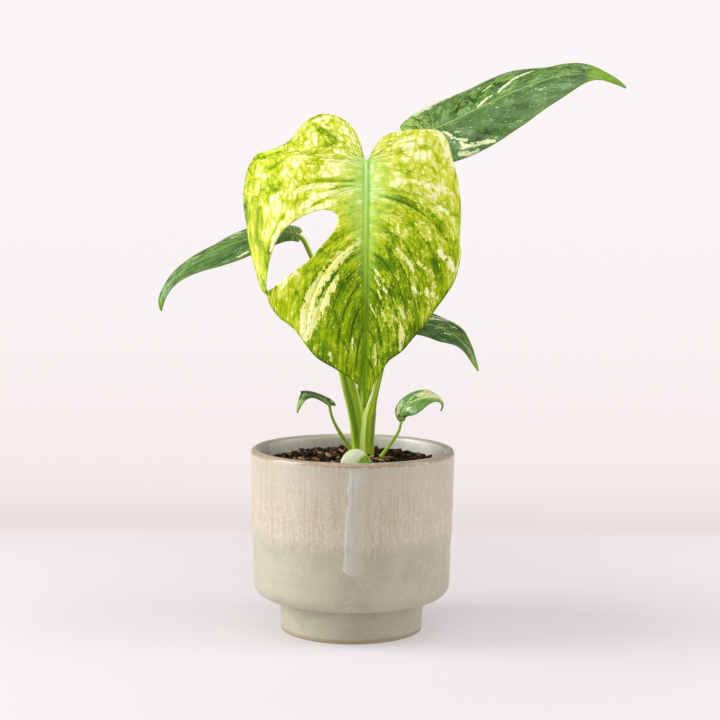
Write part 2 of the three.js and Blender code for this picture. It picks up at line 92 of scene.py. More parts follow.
class MONSTERA_PG_blades(PropertyGroup):
    thickness: size_property("Thickness", "Thickness of a blade", 0.6)
    quilting: size_property("Quilting", "How far a blade bulges between its side veins", 0.9)
    groove: size_property("Vein groove", "Depth of a side vein on the upper side", 0.25)
    moss: colour_property("Moss", "Darkest flecks of the large blade", 64, 94, 0)
    olive: colour_property("Olive", "Ground of the large blade towards its tip", 106, 138, 0)
    lime: colour_property("Lime", "Ground of the large blade's middle", 162, 180, 6)
    yellow: colour_property("Yellow green", "Ground of the large blade near its stalk", 202, 205, 66)
    cream: colour_property("Cream", "Variegated patches", 230, 230, 176)
    mint: colour_property("Mint", "Tissue beside the large blade's midrib", 156, 208, 112)
    forest: colour_property("Forest green", "Darkest tissue of the side leaves", 34, 64, 14)
    deep: colour_property("Deep green", "Ground of the side leaves", 76, 114, 44)
    # Grey green is partly the tissue's own colour and partly a painted sheen.
    grey_green_and_sheen: colour_property("Grey green", "Lighter tissue of the side leaves", 130, 164, 116)
    below: colour_property("Underside", "Lower side of the side leaves", 112, 150, 6)


class MONSTERA_PG_stalks(PropertyGroup):
    green: colour_property("Green", "Skin of a stalk", 164, 197, 0)
    dark: colour_property("Dark green", "Shaded stripes of a stalk", 80, 112, 0)
    pale: colour_property("Pale stripe", "Variegated stripes and sheath edges", 222, 232, 146)


class MONSTERA_PG_pot(PropertyGroup):
    height: size_property("Height", "Height of the pot", (POT_BOX[1].z - POT_BOX[0].z) / MM)
    rim_radius: size_property("Rim radius", "Outer radius of the rim", POT_BOX[1].x / MM)
    drip_line: size_property("Drip line", "Height at which the pale glaze ends over the green one", 69)
    oat: colour_property("Oat glaze", "Pale glaze of the upper half", 184, 172, 150)
    milk: colour_property("Milky streaks", "Lighter streaks and dabs in the pale glaze", 214, 205, 188)
    straw: colour_property("Straw streaks", "Brownish streaks in the pale glaze", 162, 147, 120)
    celadon: colour_property("Celadon", "Green glaze of the lower half", 182, 178, 155)
    sage: colour_property("Sage", "Darker clouds of the green glaze", 162, 159, 134)
    mist: colour_property("Glaze run", "Pale blue-grey run down the front", 196, 193, 182)
    clay: colour_property("Bare clay", "Unglazed edge of the foot", 178, 152, 118)


class MONSTERA_PG_soil(PropertyGroup):
    chip_count: IntProperty(name="Chips", description="Number of bark chips", default=3300, min=1)
    chip_length: size_property("Chip length", "Length of the largest bark chips", 7)
    bark: colour_property("Bark", "Bark chips", 57, 41, 28)
    fresh: colour_property("Fresh bark", "Torn faces of the chips", 192, 157, 122)
    peat: colour_property("Peat", "Fine soil between the chips", 20, 14, 10)


class MONSTERA_PG_stage(PropertyGroup):
    floor: colour_property("Floor", "Floor round the pot", 212, 207, 208)
    left_light: strength_property("Left light", "Power of the left softbox", 25)
    right_light: strength_property("Right light", "Power of the right softbox", 9)
    top_light: strength_property("Top light", "Power of the overhead softbox", 9)
    front_light: strength_property("Front light", "Power of the front fill", 5)
    ambient: strength_property("Ambient", "Strength of the light from all round", 0.3)


# Leaves, in millimetres. A leaf lies round its midrib, a cubic curve from the stalk to the tip. Its halves
# are drawn flat, with length and half_width as their size. A margin's points are (vein, across, along): where
# the side vein that ends there leaves the midrib, and the point itself. face is the way the upper side looks.
# wave is the height and the number of the ripples along a margin. fold lifts a half from the midrib and droop
# bends it down again, in degrees, each at the stalk and at the tip. veins are the main side veins, counted
# in margin points. hole is an outline of (across, along). The marks in cream and dark are paths of (across,
# along, radius).

LOBE_DROOP = 0.004
# Behind the stalk, fold and droop go on changing for this share of the leaf's length.
LOBE_SHARE = 0.3
# A point whose reach from the midrib to the margin is less than this isn't on the margin.
INSIDE_MARGIN = 0.999

# Relief of a blade, in millimetres, as heights and half-widths. The midrib's are those of the large leaf.
FULL_LENGTH = 120
FULL_SPACING = 9
GROOVE_WIDTH = 0.7
RIB = (0.35, 0.6)
RIDGE = (0.6, 1.1)
GUTTER = (0.5, 1.3)
GUTTER_PLACE = 2.6
KEEL = (1.5, 1.5)

MAIN_LEAF = {
    "midrib": [(7.5, -22, 320.6), (7.5, -53.2, 273.5), (8.4, -73.2, 220), (7.3, -76, 163.6)],
    "length": 168,
    "half_width": 75,
    "face": (-0.1, -1, 0.35),
    "wave": (1.2, 5),
    "left": {
        "fold": (12, 8),
        "droop": (36, 26),
        "margin": [
            (-1.5, -2.2, -3.5), (-1.2, -4, -15), (-0.9, -9.5, -28), (-0.6, -18, -38.5), (-0.3, -30, -44),
            (0, -39.5, -40), (0.3, -46, -31.5), (0.6, -50.5, -22.5), (1, -57, -18.5), (1.5, -67, -17.6),
            (2.2, -77, -17.8), (3.5, -83, -10), (10, -85.4, 6), (15, -85.2, 22), (16.2, -83, 38),
            (17, -80, 58), (17.8, -75.2, 74), (19, -69.5, 89.5), (26, -65.5, 93.5), (34, -63, 101),
            (43, -57, 109.5), (51, -47, 117.5), (58, -38.5, 128.5), (68, -31, 137), (82, -20, 143.5),
            (104, -10, 149.5), (130, -4, 154.6), (150, -1.3, 159.5), (168, -0.5, 168),
        ],
        "veins": [
            0, 2.4, 4.2, 5.7, 9, 11, 13, 17, 19.3, 20.7, 21.8, 22.6, 23.4, 24.1, 24.8, 25.5, 26.4, 28,
        ],
    },
    "right": {
        "fold": (12, 8),
        "droop": (50, 38),
        "margin": [
            (-1.5, 2.6, -2), (-1.2, 4, -8), (-0.9, 8, -15), (-0.6, 13.5, -20.5), (-0.3, 20.5, -23.5),
            (0, 30.5, -25.3), (0.3, 41, -26.4), (0.6, 49, -26), (1, 54.5, -19.7), (1.5, 57.5, -11),
            (2, 59.7, -2), (2.5, 61.5, 8), (3.2, 62.4, 19), (9, 63.2, 31), (19, 63.4, 42),
            (21.2, 63.4, 50), (22, 63, 58), (23, 62.8, 68), (25.5, 58.5, 84), (31.5, 52, 95.5),
            (39, 45, 105.5), (48, 37.5, 116), (60, 30.5, 124.3), (74, 24, 132), (92, 15.5, 138.5),
            (112, 10.2, 146.5), (132, 6.8, 151.6), (150, 4.6, 158.5), (168, 1.2, 168),
        ],
        "veins": [
            0, 2.6, 5.2, 8.4, 12.4, 14.4, 17.7, 19.1, 20.5, 21.5, 22.3, 23.1, 23.8, 24.5, 25.2, 26.2, 28,
        ],
    },
    "hole": [
        (-65.5, 90), (-65.4, 74.3), (-63, 63.6), (-58.6, 53.1), (-52, 45.7), (-41.5, 39.3),
        (-32.6, 36.6), (-26.3, 36.2), (-20.6, 38.6), (-18.4, 42.8), (-19.8, 49.5), (-24.2, 56.2),
        (-29.8, 62.7), (-37.3, 71.6), (-47.5, 78.8), (-57.9, 86.6),
    ],
    "cream": [
        [(-4, 58, 1.5), (-11, 64.5, 2.4), (-18, 71, 3), (-25, 79.5, 3.4), (-31, 88, 3.8), (-35, 96, 4.4),
         (-37.5, 103, 5), (-38.5, 110, 5), (-39.5, 118, 4.4), (-38.5, 124, 2.4)],
        [(-18, 82, 0.8), (-22, 92, 2.2), (-26, 99, 3.4), (-32, 108, 3.8), (-35, 115, 3), (-37, 122, 1.6)],
        [(21, 15, 1.2), (27, 17, 2), (40, 19, 2.4), (52, 23, 1.4)],
        [(44, 31, 1), (50, 35, 2.2), (55, 38, 1.4)],
        [(47, 66, 1.4), (53, 72, 2.4), (59, 79, 1.4)],
        [(34, 74, 1.2), (40, 79, 1.6)],
        [(20, 65, 0.9), (28, 74, 1.3), (31, 80, 0.8)],
        [(-20, 23, 1.5), (-30, 26, 2.4), (-38, 30, 2), (-47, 36, 1.8), (-56, 43, 1.5), (-62, 54, 1.2)],
        [(-24, 33.5, 1.2), (-33, 34.5, 1.6), (-42, 38, 1.8), (-52, 45, 1.8), (-60, 54, 1.8), (-65, 66, 1.4)],
        [(-22, 19.5, 1), (-32, 18, 2.2), (-42, 20, 2.4), (-56, 20, 2.4), (-64, 24, 2)],
        [(-74, 3, 1.4), (-66, 5, 2)],
        [(-12, -1, 0.9), (-25, 5, 1.4), (-38, 3, 1)],
        [(-18, -28, 2.4), (-11, -22, 2), (-8, -14, 1.4)],
        [(-23, -9, 1.4), (-11, -3, 0.9)],
        [(-26, -40, 1.6), (-36, -37, 1.6)],
        [(6, 84, 0.8), (10, 91, 1), (14, 94, 0.8)],
        [(6, 79, 0.7), (9, 84, 0.8), (12, 87, 0.6)],
        [(8, 93, 0.9), (10, 98, 0.7)],
        [(11, 106, 0.9), (13, 112, 1.1)],
        [(18, 110, 0.9), (22, 114, 1.4), (24, 122, 1.8), (23, 130, 1.3)],
        [(22, 104, 0.8), (25, 111, 0.8)],
        [(40, 93, 1.7), (44, 96, 1.3)],
        [(30, 91, 1.2), (35, 95, 1)],
        [(6, 128, 0.7), (7, 135, 1), (7, 141, 0.6)],
        [(-23, 133, 0.8), (-22, 139, 0.8)],
        [(-8, 124, 0.6), (-8, 132, 0.5)],
        [(1, 96, 0.5), (4, 104, 0.6), (7, 110, 0.5)],
        [(-46, 79, 0.9), (-51, 84, 1), (-56, 90, 0.9)],
        [(-27, 58, 0.9), (-37, 68, 1.2), (-51, 80, 0.9), (-60, 88, 0.8)],
    ],
    "dark": [
        [(-8, 15, 1.4), (-20, 14.5, 2), (-34, 14, 1.2)],
        [(-8, 19, 0.9), (-24, 20, 0.9)],
        [(10, 27, 1.4), (24, 30, 3), (38, 38, 4), (50, 48, 4), (56, 58, 3)],
        [(-20, -16, 2), (-30, -26, 3), (-36, -33, 2)],
        [(-82, 10, 1.6), (-83, 28, 1.6), (-80, 48, 1.6)],
        [(-55, 38, 1.2), (-62, 50, 1.4), (-66, 64, 1)],
        [(-75, -12, 1.8), (-60, -13, 1.6)],
        [(-70, 79, 1.2), (-66.8, 88, 2.4), (-64, 93, 2)],
    ],
}


def even_veins(count, points):
    return [points * i / count for i in range(count + 1)]


def mirrored_halves(stations, left, right, veins):
    """Both halves of a leaf whose margin points leave the midrib in pairs: (vein, left, right)."""
    numbers = even_veins(veins, len(stations) - 1)
    return {
        "left": {**left, "margin": [(o, *a) for o, a, _ in stations], "veins": numbers},
        "right": {**right, "margin": [(o, *b) for o, _, b in stations], "veins": numbers},
    }


UPPER_LEAF = {
    "midrib": [(48.7, 30, 341.2), (93, 32.4, 358.4), (146.9, 24.7, 401.2), (184.8, 20, 372.8)],
    "length": 147,
    "half_width": 36,
    "face": (0, -0.64, 0.77),
    "wave": (1, 4),
    **mirrored_halves(
        [
            (-1, (-1.5, -3), (1.5, -3)), (-0.5, (-7, -11), (7, -12)), (0, (-17, -14), (17, -15)),
            (0.8, (-26, -8), (27, -9)), (2, (-31, 4), (34, 3)), (7, (-33.2, 19), (38, 18)),
            (13, (-32.8, 34), (38.5, 32)), (21, (-31, 49), (36, 46)), (32, (-29, 65), (29, 61)),
            (46, (-25, 80), (21, 75)), (62, (-20, 94), (16, 89)), (80, (-14, 107), (15.2, 104)),
            (99, (-7.5, 119), (10.5, 116.5)), (116, (-4, 128), (6.2, 127)), (132, (-2.6, 138), (3.4, 138)),
            (147, (-0.6, 147), (0.6, 147)),
        ],
        {"fold": (4, 0), "droop": (34, 24)},
        {"fold": (4, 0), "droop": (40, 30)},
        13,
    ),
    "cream": [
        [(27, 0, 2), (31, 8, 3.4), (34, 17, 3.6), (38, 27, 1.6)],
        [(15, 69, 0.6), (10, 59, 0.8), (6, 54, 0.5)],
        [(6, 50, 0.5), (4, 43, 0.8), (2, 38, 0.5)],
        [(15, 46, 0.5), (17, 52, 0.7)],
        [(8, 56, 0.6), (12, 65, 1.1), (14, 72, 1.1), (15, 79, 0.5)],
        [(-9, 13, 1), (-15, 15, 1.4), (-21, 22, 1)],
        [(-20, 19, 1), (-25, 18, 1.3), (-26, 23, 1.6), (-28, 30, 1.6), (-29, 34, 1.5), (-31, 38, 0.9)],
        [(-29, 14, 1.5), (-32, 21, 1.6), (-32, 26, 1)],
        [(-11, 18, 0.7), (-12, 20, 0.6)],
        [(-6, 10, 0.6), (-8, 13, 0.6)],
    ],
    "dark": [[(8, 22, 3), (16, 40, 4), (14, 58, 3)], [(-22, 30, 3), (-20, 44, 4), (-14, 66, 4)]],
}
LEFT_LEAF = {
    "midrib": [(-40.9, 12, 271.4), (-60.3, 12, 278.4), (-140.1, 4, 245.8), (-131.3, 2, 218.4)],
    "length": 115,
    "half_width": 30,
    "face": (-0.1, -0.3, 0.95),
    "wave": (0.9, 3),
    **mirrored_halves(
        [
            (-1, (-1.5, -3), (1.5, -3)), (-0.5, (-6, -7), (6, -8)), (0, (-12, -5), (11, -8)),
            (0.8, (-17, 0), (12, -1)), (2, (-21.5, 9), (15, 9)), (5, (-25, 22), (20, 19)),
            (10, (-25, 34), (23, 29)), (17, (-23.6, 46), (24.5, 42)), (26, (-19, 54.5), (21.8, 54.5)),
            (36, (-15.5, 64), (17.5, 65)), (48, (-10.5, 75), (13, 76)), (62, (-7, 86), (8.5, 86)),
            (77, (-4.5, 95), (5.5, 95)), (95, (-2.6, 105), (3, 105)), (115, (-0.5, 115), (0.5, 115)),
        ],
        {"fold": (3, 4), "droop": (20, 20)},
        {"fold": (6, 4), "droop": (30, 30)},
        11,
    ),
    "cream": [
        [(-22, 42, 0.6), (-18, 37, 0.5)], [(-18, 56, 0.7), (-16, 50, 0.6)], [(-9, 72, 0.5), (-6, 65, 0.4)],
        [(21, 46, 0.7), (20, 39, 0.8)], [(-20, 30, 0.8), (-17, 34, 0.6)], [(-14, 40, 0.5), (-12, 45, 0.4)],
    ],
    "dark": [],
}
RIGHT_LEAF = {
    "midrib": [(35.5, 22, 210.7), (50.1, 22, 210.7), (77.9, 18, 207.6), (86.3, 16, 177.6)],
    "length": 66,
    "half_width": 26,
    "face": (0.1, -0.36, 0.93),
    "wave": (0.7, 3),
    **mirrored_halves(
        [
            (-1, (-1.5, -3), (1.5, -3)), (-0.5, (-6, -8), (7, -8)), (0, (-12, -6), (14, -8)),
            (0.8, (-15, 2), (20.5, -2)), (2, (-16.3, 12), (24, 7)), (6, (-16.8, 22), (25, 17)),
            (12, (-15.5, 32), (23.6, 26.5)), (19, (-12, 40), (20, 34)), (28, (-8.7, 46.4), (15, 41.6)),
            (38, (-5.2, 54), (8.5, 49)), (51, (-3, 61), (3, 58)), (66, (-0.5, 66), (0.5, 66)),
        ],
        {"fold": (4, 0), "droop": (30, 20)},
        {"fold": (6, 2), "droop": (24, 24)},
        9,
    ),
    "cream": [
        [(17, 14, 0.9), (17, 20, 1.1), (17, 27, 1.3), (19, 33, 0.7)],
        [(5, 16, 0.7), (11, 23, 1.3), (14, 31, 0.7)],
        [(-4, 26, 0.4), (1, 30, 0.5)], [(9, 36, 0.4), (10, 39, 0.4)], [(-5, 34, 0.5), (-2, 38, 0.4)],
        [(21, 12, 1), (22, 20, 0.8)],
    ],
    "dark": [],
}
SMALL_LEFT_LEAF = {
    "midrib": [(-16.4, -8, 156.7), (-26.8, -10, 166.3), (-36.9, -18, 166.5), (-37.5, -18, 151.6)],
    "length": 33,
    "half_width": 10,
    "face": (-0.1, -0.36, 0.93),
    "wave": (0.3, 2),
    **mirrored_halves(
        [
            (-0.5, (-1, -1.6), (0.8, -1)), (0, (-5, -4), (1.6, -1.4)), (1, (-8, -1.5), (2.6, 0.8)),
            (3, (-9, 5), (3.8, 6)), (6, (-11, 12), (4.8, 12.6)), (10, (-12, 15.5), (4.6, 19)),
            (15, (-5, 19.5), (3.4, 24)), (22, (-1.6, 26), (2, 29)), (33, (-0.4, 33), (0.4, 33)),
        ],
        {"fold": (6, 0), "droop": (30, 20)},
        {"fold": (6, 2), "droop": (24, 24)},
        7,
    ),
    "cream": [[(-3, 16, 0.3), (-1.6, 21, 0.3)]],
    "dark": [],
}
SMALL_RIGHT_LEAF = {
    "midrib": [(33.4, -10, 146.4), (29.8, -12, 162.3), (67.8, -14, 168), (59.6, -12, 153.1)],
    "length": 43,
    "half_width": 12,
    "face": (0.1, -0.6, 0.8),
    "wave": (0.3, 2),
    **mirrored_halves(
        [
            (-0.5, (-0.8, -1), (0.8, -1)), (0, (-1.9, -0.6), (2.2, -0.4)), (1, (-3.4, 1.8), (4.4, 3)),
            (3, (-6.9, 7.4), (7.4, 8)), (6, (-9.4, 13), (9.4, 13.4)), (11, (-9, 19), (9.8, 19)),
            (17, (-5.8, 24), (8.8, 24)), (23, (-2.8, 29), (4.5, 29)), (32, (-1.2, 35), (1.4, 35)),
            (43, (-0.4, 43), (0.4, 43)),
        ],
        {"fold": (6, 0), "droop": (30, 20)},
        {"fold": (6, 2), "droop": (24, 24)},
        7,
    ),
    "cream": [
        [(4, 19, 1.6), (5.6, 23, 3.4), (4, 28, 3.2), (1.8, 34, 1.4)],
        [(0.5, 13, 0.6), (0.8, 20, 0.9), (1, 30, 1.1)],
        [(2.4, 12, 0.5), (4.4, 15.5, 0.5), (6, 18, 0.4)], [(3, 4, 0.9), (4.6, 7.4, 1.2), (6.2, 10, 0.5)],
        [(-2, 9, 0.7), (-3, 12, 0.6)],
    ],
    "dark": [],
}
BASE_LEAF = {
    "midrib": [(-1.8, -40, 117.9), (1, -41, 121.4), (4.2, -40.8, 125.2), (7.5, -39, 128.6)],
    "length": 14.4,
    "half_width": 10,
    "face": (-0.05, -1, 0.2),
    "wave": (0, 0),
    **mirrored_halves(
        [
            (0, (-0.8, 0.4), (3, -1.8)), (0.8, (-2.6, 2), (7, -1.6)), (2, (-5, 4.6), (8.4, 1.6)),
            (4, (-7.6, 8), (8.8, 5.4)), (6.5, (-8.6, 11.2), (8, 8.9)), (9, (-7.2, 13.2), (6.3, 11.7)),
            (11.5, (-3.8, 14.2), (3.6, 13.8)), (14.4, (-0.5, 14.5), (0.5, 14.6)),
        ],
        {"fold": (4, 4), "droop": (22, 22)},
        {"fold": (2, 2), "droop": (26, 26)},
        5,
    ),
    "cream": [],
    "dark": [[(-8.6, 5.5, 7), (-8.6, 10.5, 7)]],
}

# Stalks, in millimetres: a route from the sunk end up to the leaf, and the half-width across the view at each
# of its points, with the half-depth too where the stalk isn't round.
UPPER_STALK = {
    "route": [
        (9.6, -4, 98), (9.5, -4, 118), (10, -3.6, 137), (11.2, -2.4, 149), (13.6, -0.8, 157), (16.3, 2, 168),
        (19.5, 5.5, 182), (25.5, 12, 213), (34, 19, 262), (41, 24, 302), (45.4, 27, 328), (48.4, 29.7, 340.9),
    ],
    "across": (5, 5.1, 5.1, 4.7, 2.7, 2.1, 2.1, 2.1, 2, 1.9, 1.9, 2),
    "deep": (4.4, 4.6, 4.6, 4.2, 2.6, 2.1, 2.1, 2.1, 2, 1.9, 1.9, 2),
    "sides": 56,
    # Where the sheath's edges meet: the groove's middle and half-width in degrees, and its depth and heights
    "groove": {"middle": -150, "width": 34, "depth": 0.55, "lowest": 112, "highest": 156},
}
MAIN_STALK = {
    "route": [
        (8.8, -2, 106), (8.2, -1.4, 130), (7.4, 0.4, 150), (7.1, 1.6, 166), (7.8, 2, 193), (8.2, 1.4, 230),
        (8.2, -0.5, 262), (8, -4, 290), (7.8, -9, 308), (7.5, -15.5, 317.6), (7.5, -20.8, 319.6),
    ],
    "across": (1.4, 1.6, 1.75, 1.8, 1.8, 1.8, 1.8, 1.8, 1.9, 2.1, 1.9),
    "sides": 40,
}
LEFT_STALK = {
    "route": [
        (4.4, 7, 98), (4.2, 7, 121), (3.2, 7, 138), (1.2, 7, 151), (-2.6, 7.2, 166), (-7, 7.8, 182),
        (-12.2, 8.6, 199), (-19.4, 9.6, 223), (-26, 10.4, 246), (-31.4, 11.2, 260), (-35.8, 11.6, 268),
        (-40.4, 12, 271.1),
    ],
    "across": (4.2, 4.6, 5, 5.2, 4.9, 4.2, 3, 2.1, 1.7, 1.6, 1.6, 1.6),
    "deep": (3.4, 3.8, 4, 4, 3.8, 3.4, 2.6, 2, 1.7, 1.6, 1.6, 1.6),
    "sides": 48,
}
RIGHT_STALK = {
    "route": [
        (9.4, 13.4, 98), (8.6, 13.6, 121), (6, 14.2, 143), (4.4, 14.8, 163), (8.4, 15.8, 181),
        (19.4, 17.8, 198.5), (29, 20.2, 208), (35, 21.8, 210.4),
    ],
    "across": (1.8, 1.8, 1.7, 1.7, 1.5, 1.4, 1.4, 1.4),
    "sides": 40,
}
SMALL_LEFT_STALK = {
    "route": [
        (1.2, -3.6, 104), (0.4, -3.8, 119), (-2.2, -4.2, 125.6), (-7.6, -5.2, 134.7), (-11.5, -6.2, 141.5),
        (-14.4, -7, 148), (-16.2, -7.9, 156.3),
    ],
    "across": (1.5, 1.5, 1.4, 1.3, 1.1, 1, 1),
    "sides": 28,
}
SMALL_RIGHT_STALK = {
    "route": [
        (10.6, -14.2, 106), (15.6, -14.1, 116.4), (22, -13.3, 125.4), (27.7, -12.4, 133.1),
        (31.2, -11.2, 138.6), (32.6, -10.3, 143.6), (33.3, -10, 146),
    ],
    "across": (1.3, 1.3, 1.2, 1.1, 1, 0.9, 0.9),
    "sides": 28,
}
BASE_STALK = {
    "route": [(0, -31, 98), (-2, -36, 109), (-1.9, -39.6, 117.6)],
    "across": (1.3, 1.2, 1),
    "sides": 24,
}

# Pot, in millimetres
FOOT = {"radius": 48.7, "edge": 1.1, "neck": 49.5, "height": 21.6, "fillet": 1.2}
BODY_RADIUS = 67.6
BODY_CORNER = 9.5
BODY_UNDERSIDE = 23.4
LOWER_BODY = (68.1, 58)
UPPER_BODY = (69.4, 92)
WALL = 6
WELL = {"radius": 41.5, "floor": 8, "corner": 4, "shelf": 30.5, "shelf_edge": 2}
PALE_RUN = {"x": 1.6, "lowest": 58, "full": 4.2, "edge": 7.5}

# Soil, in millimetres. Round the lowest leaf it dips, and no chip there is large.
SOIL_BOTTOM = 100
SOIL_EDGE = 113.5
SOIL_CROWN = 121
SOIL_SHOULDER = 0.8
SOIL_ROUGHNESS = 0.7
SOIL_RADIUS = 63.7
MOUND_RADIUS = 64
LOWEST_LEAF = {"x": 1.5, "y": -40, "reach": 19, "dip": 4.5, "clear": 11, "longest_chip": 4}

# Two points nearer than this, in millimetres, are one after a spin.
MERGE_DISTANCE = 0.002


# Shader arithmetic


class Signal:
    """A socket of a finish that takes part in plain arithmetic."""

    def __init__(self, finish, socket):
        self.finish = finish
        self.socket = socket

    def math(self, operation, *others):
        return self.finish.math(operation, self, *others)

    def __add__(self, other):
        return self.math("ADD", other)

    def __sub__(self, other):
        return self.math("SUBTRACT", other)

    def __mul__(self, other):
        return self.math("MULTIPLY", other)

    def __truediv__(self, other):
        return self.math("DIVIDE", other)

    def __pow__(self, other):
        return self.math("POWER", other)

    def __rsub__(self, other):
        return self.finish.math("SUBTRACT", other, self)

    def __rtruediv__(self, other):
        return self.finish.math("DIVIDE", other, self)

    __radd__ = __add__
    __rmul__ = __mul__

    def __abs__(self):
        return self.math("ABSOLUTE")

    def most(self, other):
        """The larger of the two."""
        return self.math("MAXIMUM", other)

    def from_whole(self):
        """How far the number is from the nearest whole one."""
        return abs((self + 0.5).math("FRACT") - 0.5)

    def step(self, low, high):
        """0 below low and 1 above high, smooth between. low may be the larger."""
        return self.finish.node(
            "ShaderNodeMapRange",
            {"interpolation_type": "SMOOTHSTEP"},
            {"Value": self, "From Min": low, "From Max": high},
        )

    def parts(self):
        """x, y and z of a vector."""
        return [self.finish.node("ShaderNodeSeparateXYZ", {}, {0: self}, i) for i in range(3)]

    def channels(self):
        """Red, green and blue of a colour."""
        return [self.finish.node("ShaderNodeSeparateColor", {}, {0: self}, i) for i in range(3)]


class Finish:
    """A material while its nodes are laid."""

    def __init__(self, name):
        self.material = bpy.data.materials.new(name)
        self.material.use_nodes = True
        self.tree = self.material.node_tree
        self.surface = self.tree.nodes["Principled BSDF"]

    def node(self, kind, settings, inputs, output=0):
        """One node: its settings, the values or links of its sockets, and the output that goes on."""
        made = self.tree.nodes.new(kind)
        for name, value in settings.items():
            if name == "stops":
                self.set_stops(made.color_ramp, value)
            else:
                setattr(made, name, value)
        for name, value in inputs.items():
            self.feed(made.inputs[name], value)
        return Signal(self, made.outputs[output])

    def feed(self, socket, value):
        if isinstance(value, Signal):
            self.tree.links.new(value.socket, socket)
        else:
            socket.default_value = value

    @staticmethod
    def set_stops(ramp, stops):
        while len(ramp.elements) < len(stops):
            ramp.elements.new(1)
        for element, (position, colour) in zip(ramp.elements, stops):
            element.position = position
            element.color = (*colour, 1)

    def math(self, operation, *values):
        return self.node("ShaderNodeMath", {"operation": operation}, dict(enumerate(values)))

    def vector_math(self, operation, *values):
        return self.node("ShaderNodeVectorMath", {"operation": operation}, dict(enumerate(values)))

    def attribute(self, name, output="Vector"):
        return self.node("ShaderNodeAttribute", {"attribute_name": name}, {}, output)

    def object_place(self):
        return self.node("ShaderNodeTexCoord", {}, {}, "Object")

    def place(self):
        """Object coordinates in millimetres."""
        return self.scaled(self.object_place(), 1 / MM, 1 / MM, 1 / MM)

    def vector(self, x, y, z=0.0):
        return self.node("ShaderNodeCombineXYZ", {}, {0: x, 1: y, 2: z})

    def scaled(self, vector, x, y, z):
        return self.vector_math("MULTIPLY", vector, (x, y, z))

    def noise(self, vector, scale, detail=2.0, roughness=0.5, output=0):
        inputs = {"Vector": vector, "Scale": scale, "Detail": detail, "Roughness": roughness}
        return self.node("ShaderNodeTexNoise", {}, inputs, output)

    def wavering(self, vector, amount, scale):
        """The place, pushed about by a noise."""
        push = self.noise(vector, scale, 1.0, 0.5, 1)
        centred = self.vector_math("SUBTRACT", push, (0.5, 0.5, 0.5))
        return self.vector_math("ADD", vector, self.scaled(centred, amount, amount, amount))

    def cells(self, vector, scale, feature="F1", output=0):
        inputs = {"Vector": vector, "Scale": scale}
        return self.node("ShaderNodeTexVoronoi", {"feature": feature}, inputs, output)

    def spots(self, place, scale, share, size, edge, chance_edge):
        """Round spots, 1 inside: in a share of the cells, with a radius in cells and an inner edge."""
        distance = self.cells(place, scale)
        chance = self.cells(place, scale, "F1", 1).channels()[0]
        return distance.step(size, edge) * chance.step(1 - share, 1 - share + chance_edge)

    def mix(self, first, second, factor):
        def colour(value):
            return value if isinstance(value, Signal) else (*value, 1)

        settings = {"data_type": "RGBA", "clamp_factor": True}
        return self.node("ShaderNodeMix", settings, {0: factor, 6: colour(first), 7: colour(second)}, 2)

    def ramp(self, value, *stops):
        """The colour at a value between stops of (value, colour)."""
        return self.node("ShaderNodeValToRGB", {"stops": stops}, {0: value})

    def bump(self, height, distance, strength):
        return self.node("ShaderNodeBump", {}, {"Height": height, "Distance": distance, "Strength": strength})

    def wear(self, **sockets):
        """Sets sockets of the surface, named with underscores, and gives the finished material."""
        known = {socket.name.lower().replace(" ", "_"): socket for socket in self.surface.inputs}
        for name, value in sockets.items():
            self.feed(known[name], value)
        return self.material


def shade(colour, factor):
    """The colour made lighter or darker by a number."""
    return tuple(part * factor for part in colour)


# Curves


def stretches(points, place):
    """How far places, counted in points from the first, are into a stretch, and the four points round it."""
    points = np.asarray(points, float)
    ring = np.vstack([2 * points[0] - points[1], points, 2 * points[-1] - points[-2]])
    step = np.clip(np.floor(place).astype(int), 0, len(points) - 2)
    return (place - step)[:, None], *(ring[step + k] for k in range(4))


def cubic(t, start, end, leaving, arriving):
    """The cubic curve between two points, with its speed at each."""
    bend = 3 * (end - start) - 2 * leaving - arriving
    twist = 2 * (start - end) + leaving + arriving
    return start + t * (leaving + t * (bend + t * twist))


def catmull_rom(points, place):
    """The smooth curve through points."""
    t, before, start, end, after = stretches(points, place)
    return cubic(t, start, end, 0.5 * (end - before), 0.5 * (after - start))


def centripetal(points, place):
    """As catmull_rom, but with its speed set by the distances between the points."""
    t, before, start, end, after = stretches(points, place)
    first, middle, last = (
        np.maximum(np.sqrt(np.linalg.norm(b - a, axis=1)), 1e-4)[:, None]
        for a, b in ((before, start), (start, end), (end, after))
    )
    leaving = (start - before) / first - (end - before) / (first + middle) + (end - start) / middle
    arriving = (end - start) / middle - (after - start) / (middle + last) + (after - end) / last
    return cubic(t, start, end, middle * leaving, middle * arriving)


def unit(vectors):
    return vectors / np.linalg.norm(vectors, axis=-1, keepdims=True)


def smooth_step(low, high, value):
    """0 at low and 1 at high, smooth between. low may be the larger."""
    t = np.clip((value - low) / (high - low), 0, 1)
    return t * t * (3 - 2 * t)


def bell(distance, width):
    """1 at no distance, and nearly nothing from twice the width outwards."""
    return np.exp(-((distance / width) ** 2))


def near_paths(paths, across, along):
    """1 on any of the paths of (across, along, radius), 0.5 at its radius, and 0 from 1.5 radii outwards."""
    closeness = np.zeros_like(across)
    for path in paths:
        for (a0, l0, r0), (a1, l1, r1) in zip(path, path[1:]):
            da, dl = a1 - a0, l1 - l0
            t = np.clip(((across - a0) * da + (along - l0) * dl) / (da * da + dl * dl), 0, 1)
            distance = np.hypot(across - a0 - t * da, along - l0 - t * dl)
            closeness = np.maximum(closeness, np.clip(1.5 - distance / (r0 + (r1 - r0) * t), 0, 1))
    return closeness


# Pieces


